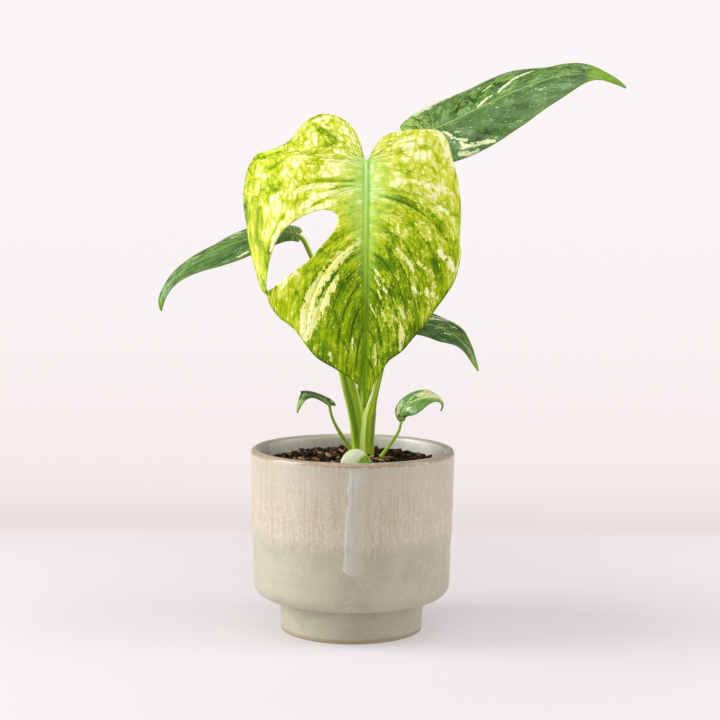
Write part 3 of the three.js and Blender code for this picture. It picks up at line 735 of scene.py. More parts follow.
def finish_piece(bm, name, node, material):
    """Makes the mesh an object in metres that stands for a solid, and takes its finish."""
    bmesh.ops.scale(bm, vec=(MM, MM, MM), verts=bm.verts)
    for face in bm.faces:
        face.smooth = True
    mesh = bpy.data.meshes.new(name)
    bm.to_mesh(mesh)
    bm.free()
    piece = bpy.data.objects.new(name, mesh)
    bpy.context.scene.collection.objects.link(piece)
    mesh.materials.append(material)
    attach(piece, "root")
    if node:
        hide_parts(node)
    return piece


def on_leaf(leaf, across, along, height):
    """Where points of the flat blade lie in space, at a height off the middle of its thickness."""
    midrib = np.asarray(leaf["midrib"], float)
    t = along / leaf["length"]
    inside = np.clip(t, 0, 1)[:, None]
    centre = (
        (1 - inside) ** 3 * midrib[0] + 3 * (1 - inside) ** 2 * inside * midrib[1]
        + 3 * (1 - inside) * inside ** 2 * midrib[2] + inside ** 3 * midrib[3]
    )
    centre = centre + 3 * (midrib[1] - midrib[0]) * np.minimum(t, 0)[:, None]
    tangent = unit(
        (1 - inside) ** 2 * (midrib[1] - midrib[0]) + 2 * (1 - inside) * inside * (midrib[2] - midrib[1])
        + inside ** 2 * (midrib[3] - midrib[2])
    )
    side = unit(np.cross(np.asarray(leaf["face"], float), tangent))
    normal = np.cross(tangent, side)
    tip_share = np.clip(t, -LOBE_SHARE, 1)

    def of_half(key):
        ends = (leaf["left"][key], leaf["right"][key])
        left, right = (low + (high - low) * tip_share for low, high in ends)
        return np.radians(np.where(across < 0, left, right))

    fold = of_half("fold")
    bend = of_half("droop") / leaf["half_width"]
    slope = fold - bend * np.abs(across)
    out = (np.sin(fold) - np.sin(slope)) / bend
    up = (np.cos(slope) - np.cos(fold)) / bend - LOBE_DROOP * np.minimum(along, 0) ** 2
    return (
        centre
        + side * (np.sign(across) * (out - np.sin(slope) * height))[:, None]
        + normal * (up + np.cos(slope) * height)[:, None]
    )


def vein_rows(leaf, rows):
    """Where the grid's rows leave the midrib, and the places on the left and right margin where they end."""
    samples = 6000
    origins = np.linspace(leaf["left"]["margin"][0][0], leaf["length"], samples)
    margins = [leaf[side]["margin"] for side in ("left", "right")]
    reaches = [np.interp(origins, [point[0] for point in margin], range(len(margin))) for margin in margins]
    total = reaches[0] + reaches[1]
    origin = np.interp(np.linspace(0, total[-1], rows + 1), total, origins)
    return origin, *(np.interp(origin, origins, reach) for reach in reaches)


def blade_grid(leaf, rows, columns):
    """Flat coordinates and vein coordinates of the blade's grid, as arrays of rows by columns.

    A side vein runs out sideways before it turns to the tip, more so on the body than in a lobe.
    """
    crowding = 1.15
    body_start, body_end = 0.3, 0.62
    # From the lobe to the body, where 0.5 would be straight
    outwards_range, forwards_range = (0.6, 0.9), (0.4, 0.22)
    origin, *places = vein_rows(leaf, rows)
    v = np.linspace(-1, 1, 2 * columns + 1)
    reach = np.abs(v) ** crowding
    bow = 2 * reach * (1 - reach)
    wave_height, waves = leaf["wave"]
    halves = []
    for place, half in zip(places, (leaf["left"], leaf["right"])):
        end = catmull_rom([point[1:] for point in half["margin"]], place)
        share = place / (len(half["margin"]) - 1)
        body = smooth_step(body_start, body_end, share)
        outwards = np.interp(body, (0, 1), outwards_range)[:, None]
        forwards = np.interp(body, (0, 1), forwards_range)[:, None]
        ripple = wave_height * np.sin(2 * np.pi * waves * share) * np.sin(np.pi * share)
        phase = np.interp(place, half["veins"], range(len(half["veins"])))
        halves.append({
            "across": end[:, :1] * (outwards * bow + reach ** 2),
            "along": origin[:, None] + (end[:, 1:] - origin[:, None]) * (forwards * bow + reach ** 2),
            "phase": np.tile(phase[:, None], len(v)),
            "wave": ripple[:, None] * reach ** 2,
        })
    left, right = halves
    grid = {key: np.where(v < 0, left[key], right[key]) for key in left}
    grid["reach"] = np.tile(reach, (rows + 1, 1))
    grid["spacing"] = vein_spacing(grid)
    return grid


def vein_spacing(grid):
    """Millimetres between neighbouring main veins, square to them."""
    row_a, column_a = np.gradient(grid["across"])
    row_l, column_l = np.gradient(grid["along"])
    turn = np.abs(row_a * column_l - row_l * column_a) / np.maximum(np.hypot(column_a, column_l), 1e-6)
    return turn / np.maximum(np.abs(np.gradient(grid["phase"])[0]), 1e-6)


def enclosed(outline, across, along):
    """Whether points lie inside a closed outline: an odd number of its sides then lies to their right."""
    start, end = outline, np.roll(outline, -1, axis=0)
    across, along = across[:, None], along[:, None]
    crosses = (start[:, 1] > along) != (end[:, 1] > along)
    rise = end[:, 1] - start[:, 1] + 1e-12
    edge = start[:, 0] + (along - start[:, 1]) / rise * (end[:, 0] - start[:, 0])
    return np.count_nonzero(crosses & (across < edge), axis=1) % 2 == 1


def snap_to_hole(leaf, bm, place_layer, grid):
    """Deletes the faces in the blade's hole and moves its border onto the hole's outline."""
    pull = 3
    ring = leaf["hole"]
    wrapped = [*ring[-1:], *ring, *ring[:2]]
    outline = catmull_rom(wrapped, np.linspace(1, len(ring) + 1, 12 * len(ring), endpoint=False))
    across, along, reach = grid["across"].ravel(), grid["along"].ravel(), grid["reach"].ravel()
    corners = np.array([[vert[place_layer] for vert in face.verts] for face in bm.faces])
    in_hole = enclosed(outline, across[corners].mean(axis=1), along[corners].mean(axis=1))
    gone = [face for face, inside in zip(bm.faces, in_hole) if inside]
    bmesh.ops.delete(bm, geom=gone, context="FACES")
    for vert in bm.verts:
        place = vert[place_layer]
        if vert.is_boundary and reach[place] < INSIDE_MARGIN:
            gaps = np.hypot(outline[:, 0] - across[place], outline[:, 1] - along[place])
            best = gaps.argmin()
            if gaps[best] < pull:
                across[place], along[place] = outline[best]


def relief(leaf, grid, blades):
    """Heights of the blade's two faces, from its quilting, its veins and its midrib.

    The midrib is a ridge between two gutters on the upper side and a keel on the lower one. It gets slimmer
    towards the tip, and a small leaf's is smaller.
    """
    across, reach, spacing = grid["across"], grid["reach"], grid["spacing"]
    from_whole = np.abs((grid["phase"] + 0.5) % 1 - 0.5)
    from_vein = from_whole * spacing
    size = min(1, leaf["length"] / FULL_LENGTH)
    quilt = blades.quilting / MM * np.minimum(spacing / FULL_SPACING, 1)
    cushion = 1 - (1 - np.minimum(2 * from_whole, 1)) ** 2
    bulge = quilt * cushion * np.sqrt(reach) * (1 - reach ** 4)
    shared = bulge * size + grid["wave"]
    groove = blades.groove / MM * bell(from_vein, GROOVE_WIDTH) * (1 - reach ** 3) * np.minimum(reach * 8, 1)
    rib = RIB[0] * bell(from_vein, RIB[1]) * (1 - reach ** 2)
    slim = np.clip(1.15 - grid["along"] / leaf["length"], 0.15, 1) * size

    def along_midrib(form, distance):
        height, width = form
        return height * slim * bell(distance, width * slim)

    clear = reach < 0.97
    ridge = along_midrib(RIDGE, across) * (grid["along"] > -1)
    gutter = along_midrib(GUTTER, np.abs(across) - GUTTER_PLACE * slim) * clear
    keel = along_midrib(KEEL, across) * clear
    half = blades.thickness / MM / 2
    return half + shared - groove * size + ridge - gutter, -half + shared - keel - rib * size


def paint_main(leaf, across, along):
    """Green, mint and cream shares of the large blade.

    It is greener towards its tip, first on the right, and less so at its margins. Mint lies beside the
    midrib, in a band that is widest some way below the stalk.
    """
    left_margin = smooth_step(-30, -56, across)
    right_margin = smooth_step(30, 58, across) * (1 - smooth_step(74, 96, along))
    right = smooth_step(0, 30, across)
    green = smooth_step(18 - 30 * right, 92 - 4 * right, along)
    green = green * (1 - 0.72 * left_margin - 0.36 * right_margin)
    green = np.maximum(green, 0.32 * smooth_step(-46, -74, across))
    green = np.maximum(green, 0.9 * near_paths(leaf["dark"], across, along))
    mint_width = 5 + 10 * bell(along - 20, 26)
    mint = bell(across, mint_width) * smooth_step(-14, 2, along) * (1 - smooth_step(50, 100, along))
    return np.stack([green, mint, near_paths(leaf["cream"], across, along)], axis=1)


def paint_side(leaf, across, along):
    """Dark, lobe and cream shares of a side leaf."""
    dark = near_paths(leaf["dark"], across, along)
    lobe = 1 - smooth_step(-4, 12, along)
    return np.stack([dark, lobe, near_paths(leaf["cream"], across, along)], axis=1)


def blade(name, leaf, node, rows, columns, material, paint=paint_side):
    """A leaf's blade: a grid bent onto the leaf's surface, with its underside drawn from it.

    `flat` keeps each point's place on the flat blade, `vein` its place between the main veins, its reach from
    the midrib and the veins' spacing, and `paint` its colour shares, with an alpha of 1 on the upper side.
    """
    widest_spacing = 30
    grid = blade_grid(leaf, rows, columns)
    bm = bmesh.new()
    bmesh.ops.create_grid(bm, x_segments=2 * columns, y_segments=rows, size=1)
    place_layer = bm.verts.layers.int.new("place")
    for vert in bm.verts:
        column = round((vert.co.x + 1) * columns)
        row = round((vert.co.y + 1) / 2 * rows)
        vert[place_layer] = row * (2 * columns + 1) + column
    if "hole" in leaf:
        snap_to_hole(leaf, bm, place_layer, grid)
    top_height, low_height = relief(leaf, grid, bpy.context.scene.monstera_blades)
    across, along = grid["across"].ravel(), grid["along"].ravel()
    top = on_leaf(leaf, across, along, top_height.ravel())
    low = on_leaf(leaf, across, along, low_height.ravel())
    spacing = np.minimum(grid["spacing"], widest_spacing)
    flat = np.stack([across, along, np.zeros_like(across)], axis=1)
    vein = np.stack([grid["phase"].ravel(), grid["reach"].ravel(), spacing.ravel()], axis=1)
    zones = paint(leaf, across, along)
    flat_layer = bm.verts.layers.float_vector.new("flat")
    vein_layer = bm.verts.layers.float_vector.new("vein")
    paint_layer = bm.verts.layers.float_color.new("paint")
    made = bmesh.ops.extrude_face_region(bm, geom=bm.faces[:], use_keep_orig=True)
    lower = {item for item in made["geom"] if isinstance(item, bmesh.types.BMVert)}
    for vert in bm.verts:
        place = vert[place_layer]
        is_upper = vert not in lower
        vert.co = top[place] if is_upper else low[place]
        vert[flat_layer] = flat[place]
        vert[vein_layer] = vein[place]
        vert[paint_layer] = (*zones[place], float(is_upper))
    bm.verts.layers.int.remove(place_layer)
    bmesh.ops.recalc_face_normals(bm, faces=bm.faces)
    return finish_piece(bm, name, node, material)


# Leaf finishes


def leaf_lines(finish, net_size, columns, steps):
    """What all blades share: places, distances from the veins and three noises round 0.

    grain counts columns between two main veins and steps from the midrib to the margin.
    """
    flat = finish.attribute("flat")
    across, along, _ = flat.parts()
    phase, reach, spacing = finish.attribute("vein").parts()
    # Far enough for the two halves to differ in their grain
    half = across.math("GREATER_THAN", 0) * 240
    grain = finish.vector(phase * columns + half, reach * steps)
    meshes = finish.wavering(finish.vector(phase * 2.2 + half, across / net_size), 0.5, 0.9)
    return SimpleNamespace(
        flat=flat,
        across=across,
        along=along,
        reach=reach,
        grain=grain,
        paint=finish.attribute("paint", "Color").channels(),
        upper=finish.attribute("paint", "Alpha"),
        net=finish.cells(meshes, 1.0, "DISTANCE_TO_EDGE"),
        main=phase.from_whole() * spacing,
        fine=(phase * 4).from_whole() * spacing / 4,
        cloud=finish.noise(flat, 0.05, 2, 0.55) - 0.5,
        marble=finish.noise(grain, 0.3, 3, 0.6) - 0.5,
        mottle=finish.noise(flat, 0.24, 3, 0.6) - 0.5,
    )


def flecks(finish, place, scale, share, size):
    """Small ragged flecks, 1 inside: in a share of the cells, with a radius in cells."""
    return finish.spots(finish.wavering(place, 0.5, 1.2), scale, share, size, size * 0.5, 0.03)


def leaf_bump(finish, leaf, depth):
    height = leaf.net.step(0.0, 0.12) * 0.6 + leaf.main.step(0.0, 0.8) * 0.8 + leaf.mottle * 0.4
    return finish.bump(height, depth * MM, 0.8)


def lime_finish():
    """The large blade, marbled from moss green to cream, greener towards its tip."""
    blades = bpy.context.scene.monstera_blades
    finish = Finish("variegated_lime_leaf")
    leaf = leaf_lines(finish, 5.4, 4.4, 17)
    green, mint, cream = leaf.paint
    loose = finish.wavering(leaf.grain, 1.6, 0.7)
    dabs = finish.noise(loose, 0.95)
    light_dab = dabs.step(0.57, 0.6)
    blotch = finish.noise(loose, 0.4)

    tone = 0.68 - green * 0.42 + leaf.cloud * 0.6 + leaf.marble * 0.4 + leaf.mottle * 0.3
    tone = tone + blotch.step(0.53, 0.555) * (0.16 - green * 0.08)
    tone = tone - blotch.step(0.45, 0.425) * (0.1 - green * 0.03)
    tone = tone + light_dab * (0.17 - green * 0.07) - dabs.step(0.41, 0.385) * (0.1 - green * 0.03)
    tone = tone + leaf.across.step(8, 46) * 0.06
    torn = finish.noise(leaf.grain, 1.6) - 0.5
    ragged = cream + leaf.mottle * 1.2 + leaf.marble * 1.2 + torn * 1.4 - dabs.step(0.46, 0.42) * 0.45
    patch = ragged.step(0.38, 0.5) * cream.step(0.02, 0.2)
    tone = tone + (0.94 + leaf.marble * 0.5 - tone) * patch * 0.9
    fleck = flecks(finish, leaf.grain, 1.4, 0.36, 0.32)
    speck = flecks(finish, finish.scaled(leaf.flat, 0.55, 0.42, 1), 1.0, 0.34, 0.24)
    tone = tone + (fleck + speck * 0.8) * (0.16 + green * 0.42)
    # Fine pale squiggles, in groups, on the right of the lower half
    curls = abs(finish.noise(finish.wavering(leaf.grain, 1.1, 1.2), 0.8) - 0.5)
    groups = blotch.step(0.49, 0.53) * leaf.across.step(4, 18) * green.step(0.1, 0.4)
    tone = tone + curls.step(0.022, 0.008) * groups * 0.42
    net_depth = 0.2 - green * 0.09 + leaf.mottle * 0.4
    tone = tone - leaf.net.step(0.1, 0.03) * leaf.reach.step(0.1, 0.3) * net_depth
    tone = tone + leaf.net.step(0.1, 0.34) * (0.1 - green * 0.07)

    line = leaf.main.step(0.75, 0.25) * leaf.reach.step(0.01, 0.06)
    flank = leaf.main.step(1.6, 0.8) * leaf.main.step(0.2, 0.6) * leaf.reach.step(0.03, 0.1)
    fading = 1 - leaf.reach.step(0.4, 0.95) * 0.8
    twig = leaf.fine.step(0.32, 0.08) * leaf.reach.step(0.02, 0.1) * (1 - leaf.reach.step(0.3, 0.8))
    tone = tone + line * fading * (0.12 - green * 0.36) - flank * fading * (0.16 - green * 0.1) - twig * 0.1
    tone = tone - leaf.reach.step(0.975, 0.995) * 0.2

    base = finish.ramp(
        tone, (0, blades.moss), (0.22, blades.olive), (0.45, blades.lime), (0.7, blades.yellow),
        (0.95, blades.cream),
    )
    base = finish.mix(base, blades.mint, mint * (0.62 - light_dab * 0.42 + leaf.marble * 0.8))
    # The midrib is a pale ridge between green shoulders. Towards the tip both turn to a dark olive band, a
    # painted shade of the midrib's side.
    side = abs(leaf.across)
    share = leaf.along / 120
    shoulder_and_shade = finish.ramp(
        share, (0, tint(118, 180, 92)), (0.5, tint(132, 172, 40)), (0.85, tint(92, 122, 0))
    )
    ridge = finish.ramp(
        share, (0, tint(200, 228, 132)), (0.4, tint(166, 200, 84)), (0.88, tint(98, 130, 0))
    )
    base = finish.mix(base, shoulder_and_shade, side.step(3.4, 1.5) * leaf.along.step(-4, 4) * 0.75)
    base = finish.mix(base, ridge, side.step(1.15, 0.6) * leaf.along.step(-2, 2) * 0.9)
    lower = finish.mix(base, tint(186, 202, 84), 0.5)
    return finish.wear(
        base_color=finish.mix(lower, base, leaf.upper),
        roughness=0.42 + leaf.mottle * 0.2,
        specular_ior_level=0.1,
        normal=leaf_bump(finish, leaf, 0.14),
    )


def dark_finish(name, deep, ground, fleck_share, tip, edge=0, bright_side=1):
    """A side leaf whose ground is a tone between forest green (0) and grey green with a painted sheen (0.7).

    deep is its colour halfway. tip is where it turns lime, from and to, in millimetres along. edge is the
    side whose margin is lime, or 0, and bright_side the one with yellow green streaks: -1 left, 1 right.
    """
    blades = bpy.context.scene.monstera_blades
    finish = Finish(name)
    leaf = leaf_lines(finish, 4.0, 5, 12)
    dark, lobe, cream = leaf.paint
    streak = finish.noise(leaf.grain, 0.6, 3, 0.6)

    tone = ground + leaf.cloud * 0.7 + leaf.marble * 0.9 + leaf.mottle * 0.3 - dark * 0.2
    vein = leaf.main.step(0.5, 0.12) * leaf.reach.step(0.02, 0.12)
    tone = tone - vein * (0.14 + lobe * 0.3) - leaf.net.step(0.08, 0.02) * (0.05 + lobe * 0.25)
    torn = finish.noise(leaf.grain, 1.3) - 0.5
    ragged = cream + leaf.mottle * 1.2 + leaf.marble * 0.9 + torn * 3.2
    patch = ragged.step(0.44, 0.54) * cream.step(0.02, 0.2)
    tone = tone + (0.98 + leaf.marble * 0.4 - tone) * patch * 0.92
    fleck = flecks(finish, leaf.grain, 1.1, fleck_share, 0.3)
    speck = flecks(finish, finish.scaled(leaf.flat, 0.6, 0.5, 1), 1.0, fleck_share * 0.8, 0.2)
    tone = tone + (fleck * 0.45 + speck * 0.65) * (1 - lobe)

    # Towards grey green the ramp paints a sheen as well as lighter tissue.
    base = finish.ramp(tone, (0, blades.forest), (0.35, deep), (0.7, blades.grey_green_and_sheen), (1, blades.cream))
    upper_half = (leaf.across * bright_side).step(-1, 3)
    base = finish.mix(base, tint(128, 160, 56), streak.step(0.5, 0.58) * (1 - patch) * upper_half * 0.55)
    cells = leaf.net.step(0.03, 0.12) * leaf.main.step(0.2, 0.7) * (1 - patch)
    base = finish.mix(base, tint(162, 188, 90), lobe * cells * 0.8)
    ridge = abs(leaf.across).step(1.0, 0.4)
    base = finish.mix(base, tint(142, 178, 74), ridge * (0.85 - leaf.along / 240))
    margin = leaf.reach.step(0.965, 0.99) * 0.6
    if edge:
        lime_edge = leaf.reach.step(0.92, 0.97) * leaf.along.step(20, 50)
        margin = margin.most((leaf.across * edge).step(0, 1) * lime_edge)
    base = finish.mix(base, tint(86, 120, 14), margin * 0.75)
    base = finish.mix(base, tint(112, 156, 8), leaf.along.step(*tip) * 0.9)
    under = finish.mix(blades.below, shade(blades.below, 0.6), vein * 0.6 + streak.step(0.6, 0.4) * 0.3)
    return finish.wear(
        base_color=finish.mix(under, base, leaf.upper),
        roughness=0.33 + leaf.mottle * 0.2,
        specular_ior_level=0.45,
        normal=leaf_bump(finish, leaf, 0.11),
    )


def pale_finish():
    """The lowest young leaf: a cream half, and a green one with a pale edge and a painted shadow line outside
    it.
    """
    finish = Finish("pale_leaf")
    leaf = leaf_lines(finish, 2.6, 4, 5)
    green = leaf.paint[0] + leaf.mottle * 0.1
    base = finish.mix(tint(226, 238, 184), tint(244, 248, 220), leaf.marble.step(-0.12, 0.1))
    base = finish.mix(base, tint(200, 222, 146), leaf.fine.step(0.2, 0.05) * 0.35)
    specks = flecks(finish, leaf.flat, 0.55, 0.3, 0.16)
    base = finish.mix(base, tint(142, 172, 82), specks * 0.8)
    curl = finish.mix(tint(122, 164, 12), tint(154, 190, 40), leaf.marble.step(-0.1, 0.1))
    # A painted shadow: a darker copy of the green just outside its pale edge.
    base = finish.mix(base, finish.scaled(curl, 0.7, 0.7, 0.7), green.step(0.3, 0.36) * 0.6)
    base = finish.mix(base, tint(230, 240, 186), green.step(0.37, 0.41))
    base = finish.mix(base, curl, green.step(0.46, 0.5))
    base = finish.mix(base, tint(206, 228, 140), leaf.reach.step(0.88, 0.96) * 0.8)
    return finish.wear(
        base_color=base,
        roughness=0.42,
        specular_ior_level=0.3,
        normal=leaf_bump(finish, leaf, 0.06),
    )


# Stalks


def stalk(name, shape, node, material):
    """A cylinder bent along the stalk's route, with its ends closed and faint ribs."""
    ring_spacing = 1.6
    fewest_rings = 12
    route = np.asarray(shape["route"], float)
    last = len(route) - 1
    length = np.linalg.norm(np.diff(route, axis=0), axis=1).sum()
    rings = max(fewest_rings, round(length / ring_spacing))
    bm = bmesh.new()
    bmesh.ops.create_cone(bm, cap_ends=True, segments=shape["sides"], radius1=1, radius2=1, depth=1)
    upright = [e for e in bm.edges if abs(e.verts[0].co.z - e.verts[1].co.z) > 0.5]
    bmesh.ops.subdivide_edges(bm, edges=upright, cuts=rings - 1, use_grid_fill=False)
    round_layer = bm.verts.layers.float_vector.new("round")
    x, y, z = np.array([v.co for v in bm.verts]).T
    t = np.clip(z + 0.5, 0, 1) * last
    step = 0.02
    ahead, behind = np.minimum(t + step, last), np.maximum(t - step, 0)
    tangent = unit(centripetal(route, ahead) - centripetal(route, behind))
    depth_way = unit(np.array([0, 1.0, 0]) - tangent * tangent[:, 1:2])
    across_way = np.cross(depth_way, tangent)
    sizes = catmull_rom(np.stack([shape["across"], shape.get("deep", shape["across"])], axis=1), t)
    angle = np.arctan2(y, x)
    centre = centripetal(route, t)
    ribs = 0.03 * np.sin(angle * 5) + 0.02 * np.sin(t * 2.1 + angle * 2)
    radius = 1 + ribs
    if "groove" in shape:
        radius = radius - groove_depth(shape["groove"], np.degrees(angle), centre[:, 2])
    place = centre + across_way * (x * radius * sizes[:, 0])[:, None]
    place = place + depth_way * (y * radius * sizes[:, 1])[:, None]
    for i, vert in enumerate(bm.verts):
        vert.co = place[i]
        vert[round_layer] = (x[i], y[i], centre[i, 2])
    bmesh.ops.recalc_face_normals(bm, faces=bm.faces)
    return finish_piece(bm, name, node, material)


def groove_depth(groove, angle, height):
    """How deep a sheath's groove is at an angle and height, as a share of the stalk's radius."""
    fade_in, fade_out = 6, 5
    turn = (angle - groove["middle"] + 180) % 360 - 180
    share = smooth_step(groove["lowest"] - fade_in, groove["lowest"], height)
    share = share * (1 - smooth_step(groove["highest"] - fade_out, groove["highest"], height))
    return groove["depth"] * np.exp(-((turn / groove["width"]) ** 4)) * share


def stalk_finish(name, pale_share, dark_share, pale_angle=None, dark_angle=None):
    """Stripes along the stalk, and a pale and a dark flank at angles round it.

    `round` holds the place round the stalk, as x and y, and the height.
    """
    stalks = bpy.context.scene.monstera_stalks
    finish = Finish(name)
    x, y, height = finish.attribute("round").parts()
    stripe = finish.noise(finish.vector(x * 2.2, y * 2.2, height * 0.012), 1.3, 3, 0.6)
    fine = finish.noise(finish.vector(x * 6, y * 6, height * 0.03), 1.5, 2, 0.6)
    cloud = finish.noise(finish.vector(x, y, height * 0.05), 0.8)
    all_dark = 0.3 + 0.25 * dark_share
    all_pale = 0.8 - 0.3 * pale_share
    base = finish.mix(stalks.green, tint(168, 198, 30), cloud.step(0.45, 0.65) * 0.7)
    base = finish.mix(base, stalks.dark, stripe.step(all_dark + 0.2, all_dark) * 0.7)
    base = finish.mix(base, stalks.pale, stripe.step(all_pale - 0.08, all_pale) * 0.8)
    base = finish.mix(base, stalks.dark, fine.step(0.45, 0.3) * 0.15)
    base = finish.mix(base, tint(190, 214, 66), height.step(138, 114) * 0.6)

    def facing(angle):
        turn = math.radians(angle)
        return x * math.cos(turn) + y * math.sin(turn) + (fine - 0.5) * 0.2

    if dark_angle is not None:
        dark_flank = facing(dark_angle).step(0.88, 0.99) * height.step(118, 134)
        base = finish.mix(base, stalks.dark, dark_flank * 0.75)
    if pale_angle is not None:
        base = finish.mix(base, stalks.pale, facing(pale_angle).step(0.9, 0.98) * 0.8)
    return finish.wear(
        base_color=base,
        roughness=0.32 + 0.1 * fine,
        specular_ior_level=0.3,
        normal=finish.bump(stripe + fine * 0.5, 0.1 * MM, 0.7),
    )


# Pot


def arc(radius, height, size, start, end, steps):
    angles = np.radians(np.linspace(start, end, steps + 1))
    return [(radius + size * math.cos(a), height + size * math.sin(a)) for a in angles]


def resampled(points, spacing):
    """Points at even steps along a polyline, corners included as nearly as the steps allow."""
    points = np.asarray(points, float)
    lengths = np.r_[0, np.cumsum(np.linalg.norm(np.diff(points, axis=0), axis=1))]
    places = np.linspace(0, lengths[-1], max(2, round(lengths[-1] / spacing)) + 1)
    return [(np.interp(p, lengths, points[:, 0]), np.interp(p, lengths, points[:, 1])) for p in places]


def turned(profile, steps):
    """The solid that a profile of (radius, height) makes when it is spun, closed at its poles."""
    bm = bmesh.new()
    verts = [bm.verts.new((radius, 0, height)) for radius, height in profile]
    edges = [bm.edges.new(pair) for pair in zip(verts, verts[1:])]
    spin = {"cent": (0, 0, 0), "axis": (0, 0, 1), "angle": math.tau, "steps": steps, "use_merge": True}
    bmesh.ops.spin(bm, geom=[*verts, *edges], **spin)
    bmesh.ops.remove_doubles(bm, verts=bm.verts, dist=MERGE_DISTANCE)
    bmesh.ops.recalc_face_normals(bm, faces=bm.faces)
    return bm


def pot_profile(height, rim_radius):
    """From the middle of the underside over the foot, the body and the rim to the middle of the floor."""
    lip = WALL / 2
    lip_band = 1.6
    underside_rise = 0.4
    edge, fillet = FOOT["edge"], FOOT["fillet"]
    corner_height = BODY_UNDERSIDE + underside_rise + BODY_CORNER
    outside = [
        (0, 0),
        *arc(FOOT["radius"] - edge, edge, edge, -90, 0, 4),
        (FOOT["neck"], FOOT["height"]),
        *arc(FOOT["neck"] + fillet, BODY_UNDERSIDE - fillet, fillet, 180, 90, 4),
        *arc(BODY_RADIUS - BODY_CORNER, corner_height, BODY_CORNER, -84, 0, 10),
        LOWER_BODY,
        UPPER_BODY,
        (rim_radius, height - lip - lip_band),
        *arc(rim_radius - lip, height - lip, lip, 0, 180, 18),
    ]
    well, corner = WELL["radius"], BODY_CORNER - 1
    inside = [
        (rim_radius - WALL, height - lip),
        (rim_radius - WALL, UPPER_BODY[1]),
        *arc(BODY_RADIUS - WALL - corner, WELL["shelf"] + corner, corner, 0, -90, 6),
        (well + WELL["shelf_edge"], WELL["shelf"]),
        (well, WELL["shelf"] - WELL["shelf_edge"]),
        (well, WELL["floor"] + WELL["corner"]),
        (well - WELL["corner"], WELL["floor"]),
        (0, WELL["floor"]),
    ]
    outer_spacing, inner_spacing = 1.35, 4
    return resampled(outside, outer_spacing) + resampled(inside, inner_spacing)[1:]


def run_mask(x, z):
    """1 on the pale run down the front, soft at its edge."""
    wander = 0.5 * np.sin(z * 0.19) + 0.4 * np.sin(z * 0.07 + 1)
    below = np.maximum(PALE_RUN["lowest"] - z, 0)
    distance = np.hypot(x - PALE_RUN["x"] + wander, below)
    return 1 - smooth_step(PALE_RUN["full"], PALE_RUN["edge"], distance)


def build_pot():
    """The turned pot, with throwing rings, the pale glaze's thick wavy edge and the run down its front."""
    pot = bpy.context.scene.monstera_pot
    sides = 288
    bm = turned(pot_profile(pot.height / MM, pot.rim_radius / MM), sides)
    x, y, z = np.array([v.co for v in bm.verts]).T
    radius = np.hypot(x, y)
    angle = np.arctan2(y, x)
    is_outer_wall = (radius > BODY_RADIUS - WALL / 2) & (z > BODY_UNDERSIDE)
    below_rim = 1 - smooth_step(112, 121, z)
    ring_height, glaze_height = 0.04, 0.3
    throw = ring_height * (np.sin(z * 0.9) + np.sin(z * 0.31 + np.sin(angle) * 1.5))
    throw = throw * smooth_step(28, 40, z) * below_rim
    drip_line = pot.drip_line / MM
    sag = drip_line + 2.2 * np.sin(angle * 9) + 1.4 * np.sin(angle * 23 + 1) + 0.9 * np.sin(angle * 47)
    pale_edge = glaze_height * smooth_step(sag - 1.5, sag + 1, z) * (1 - smooth_step(sag + 3, sag + 14, z))
    run = glaze_height * (y < 0) * run_mask(x, z) * below_rim
    rise = np.where(is_outer_wall, throw + pale_edge + run, 0)
    scale = (radius + rise) / np.maximum(radius, 1e-6)
    for i, vert in enumerate(bm.verts):
        if rise[i]:
            vert.co.x *= scale[i]
            vert.co.y *= scale[i]
    return finish_piece(bm, "stoneware_pot", "pot", glaze_finish())


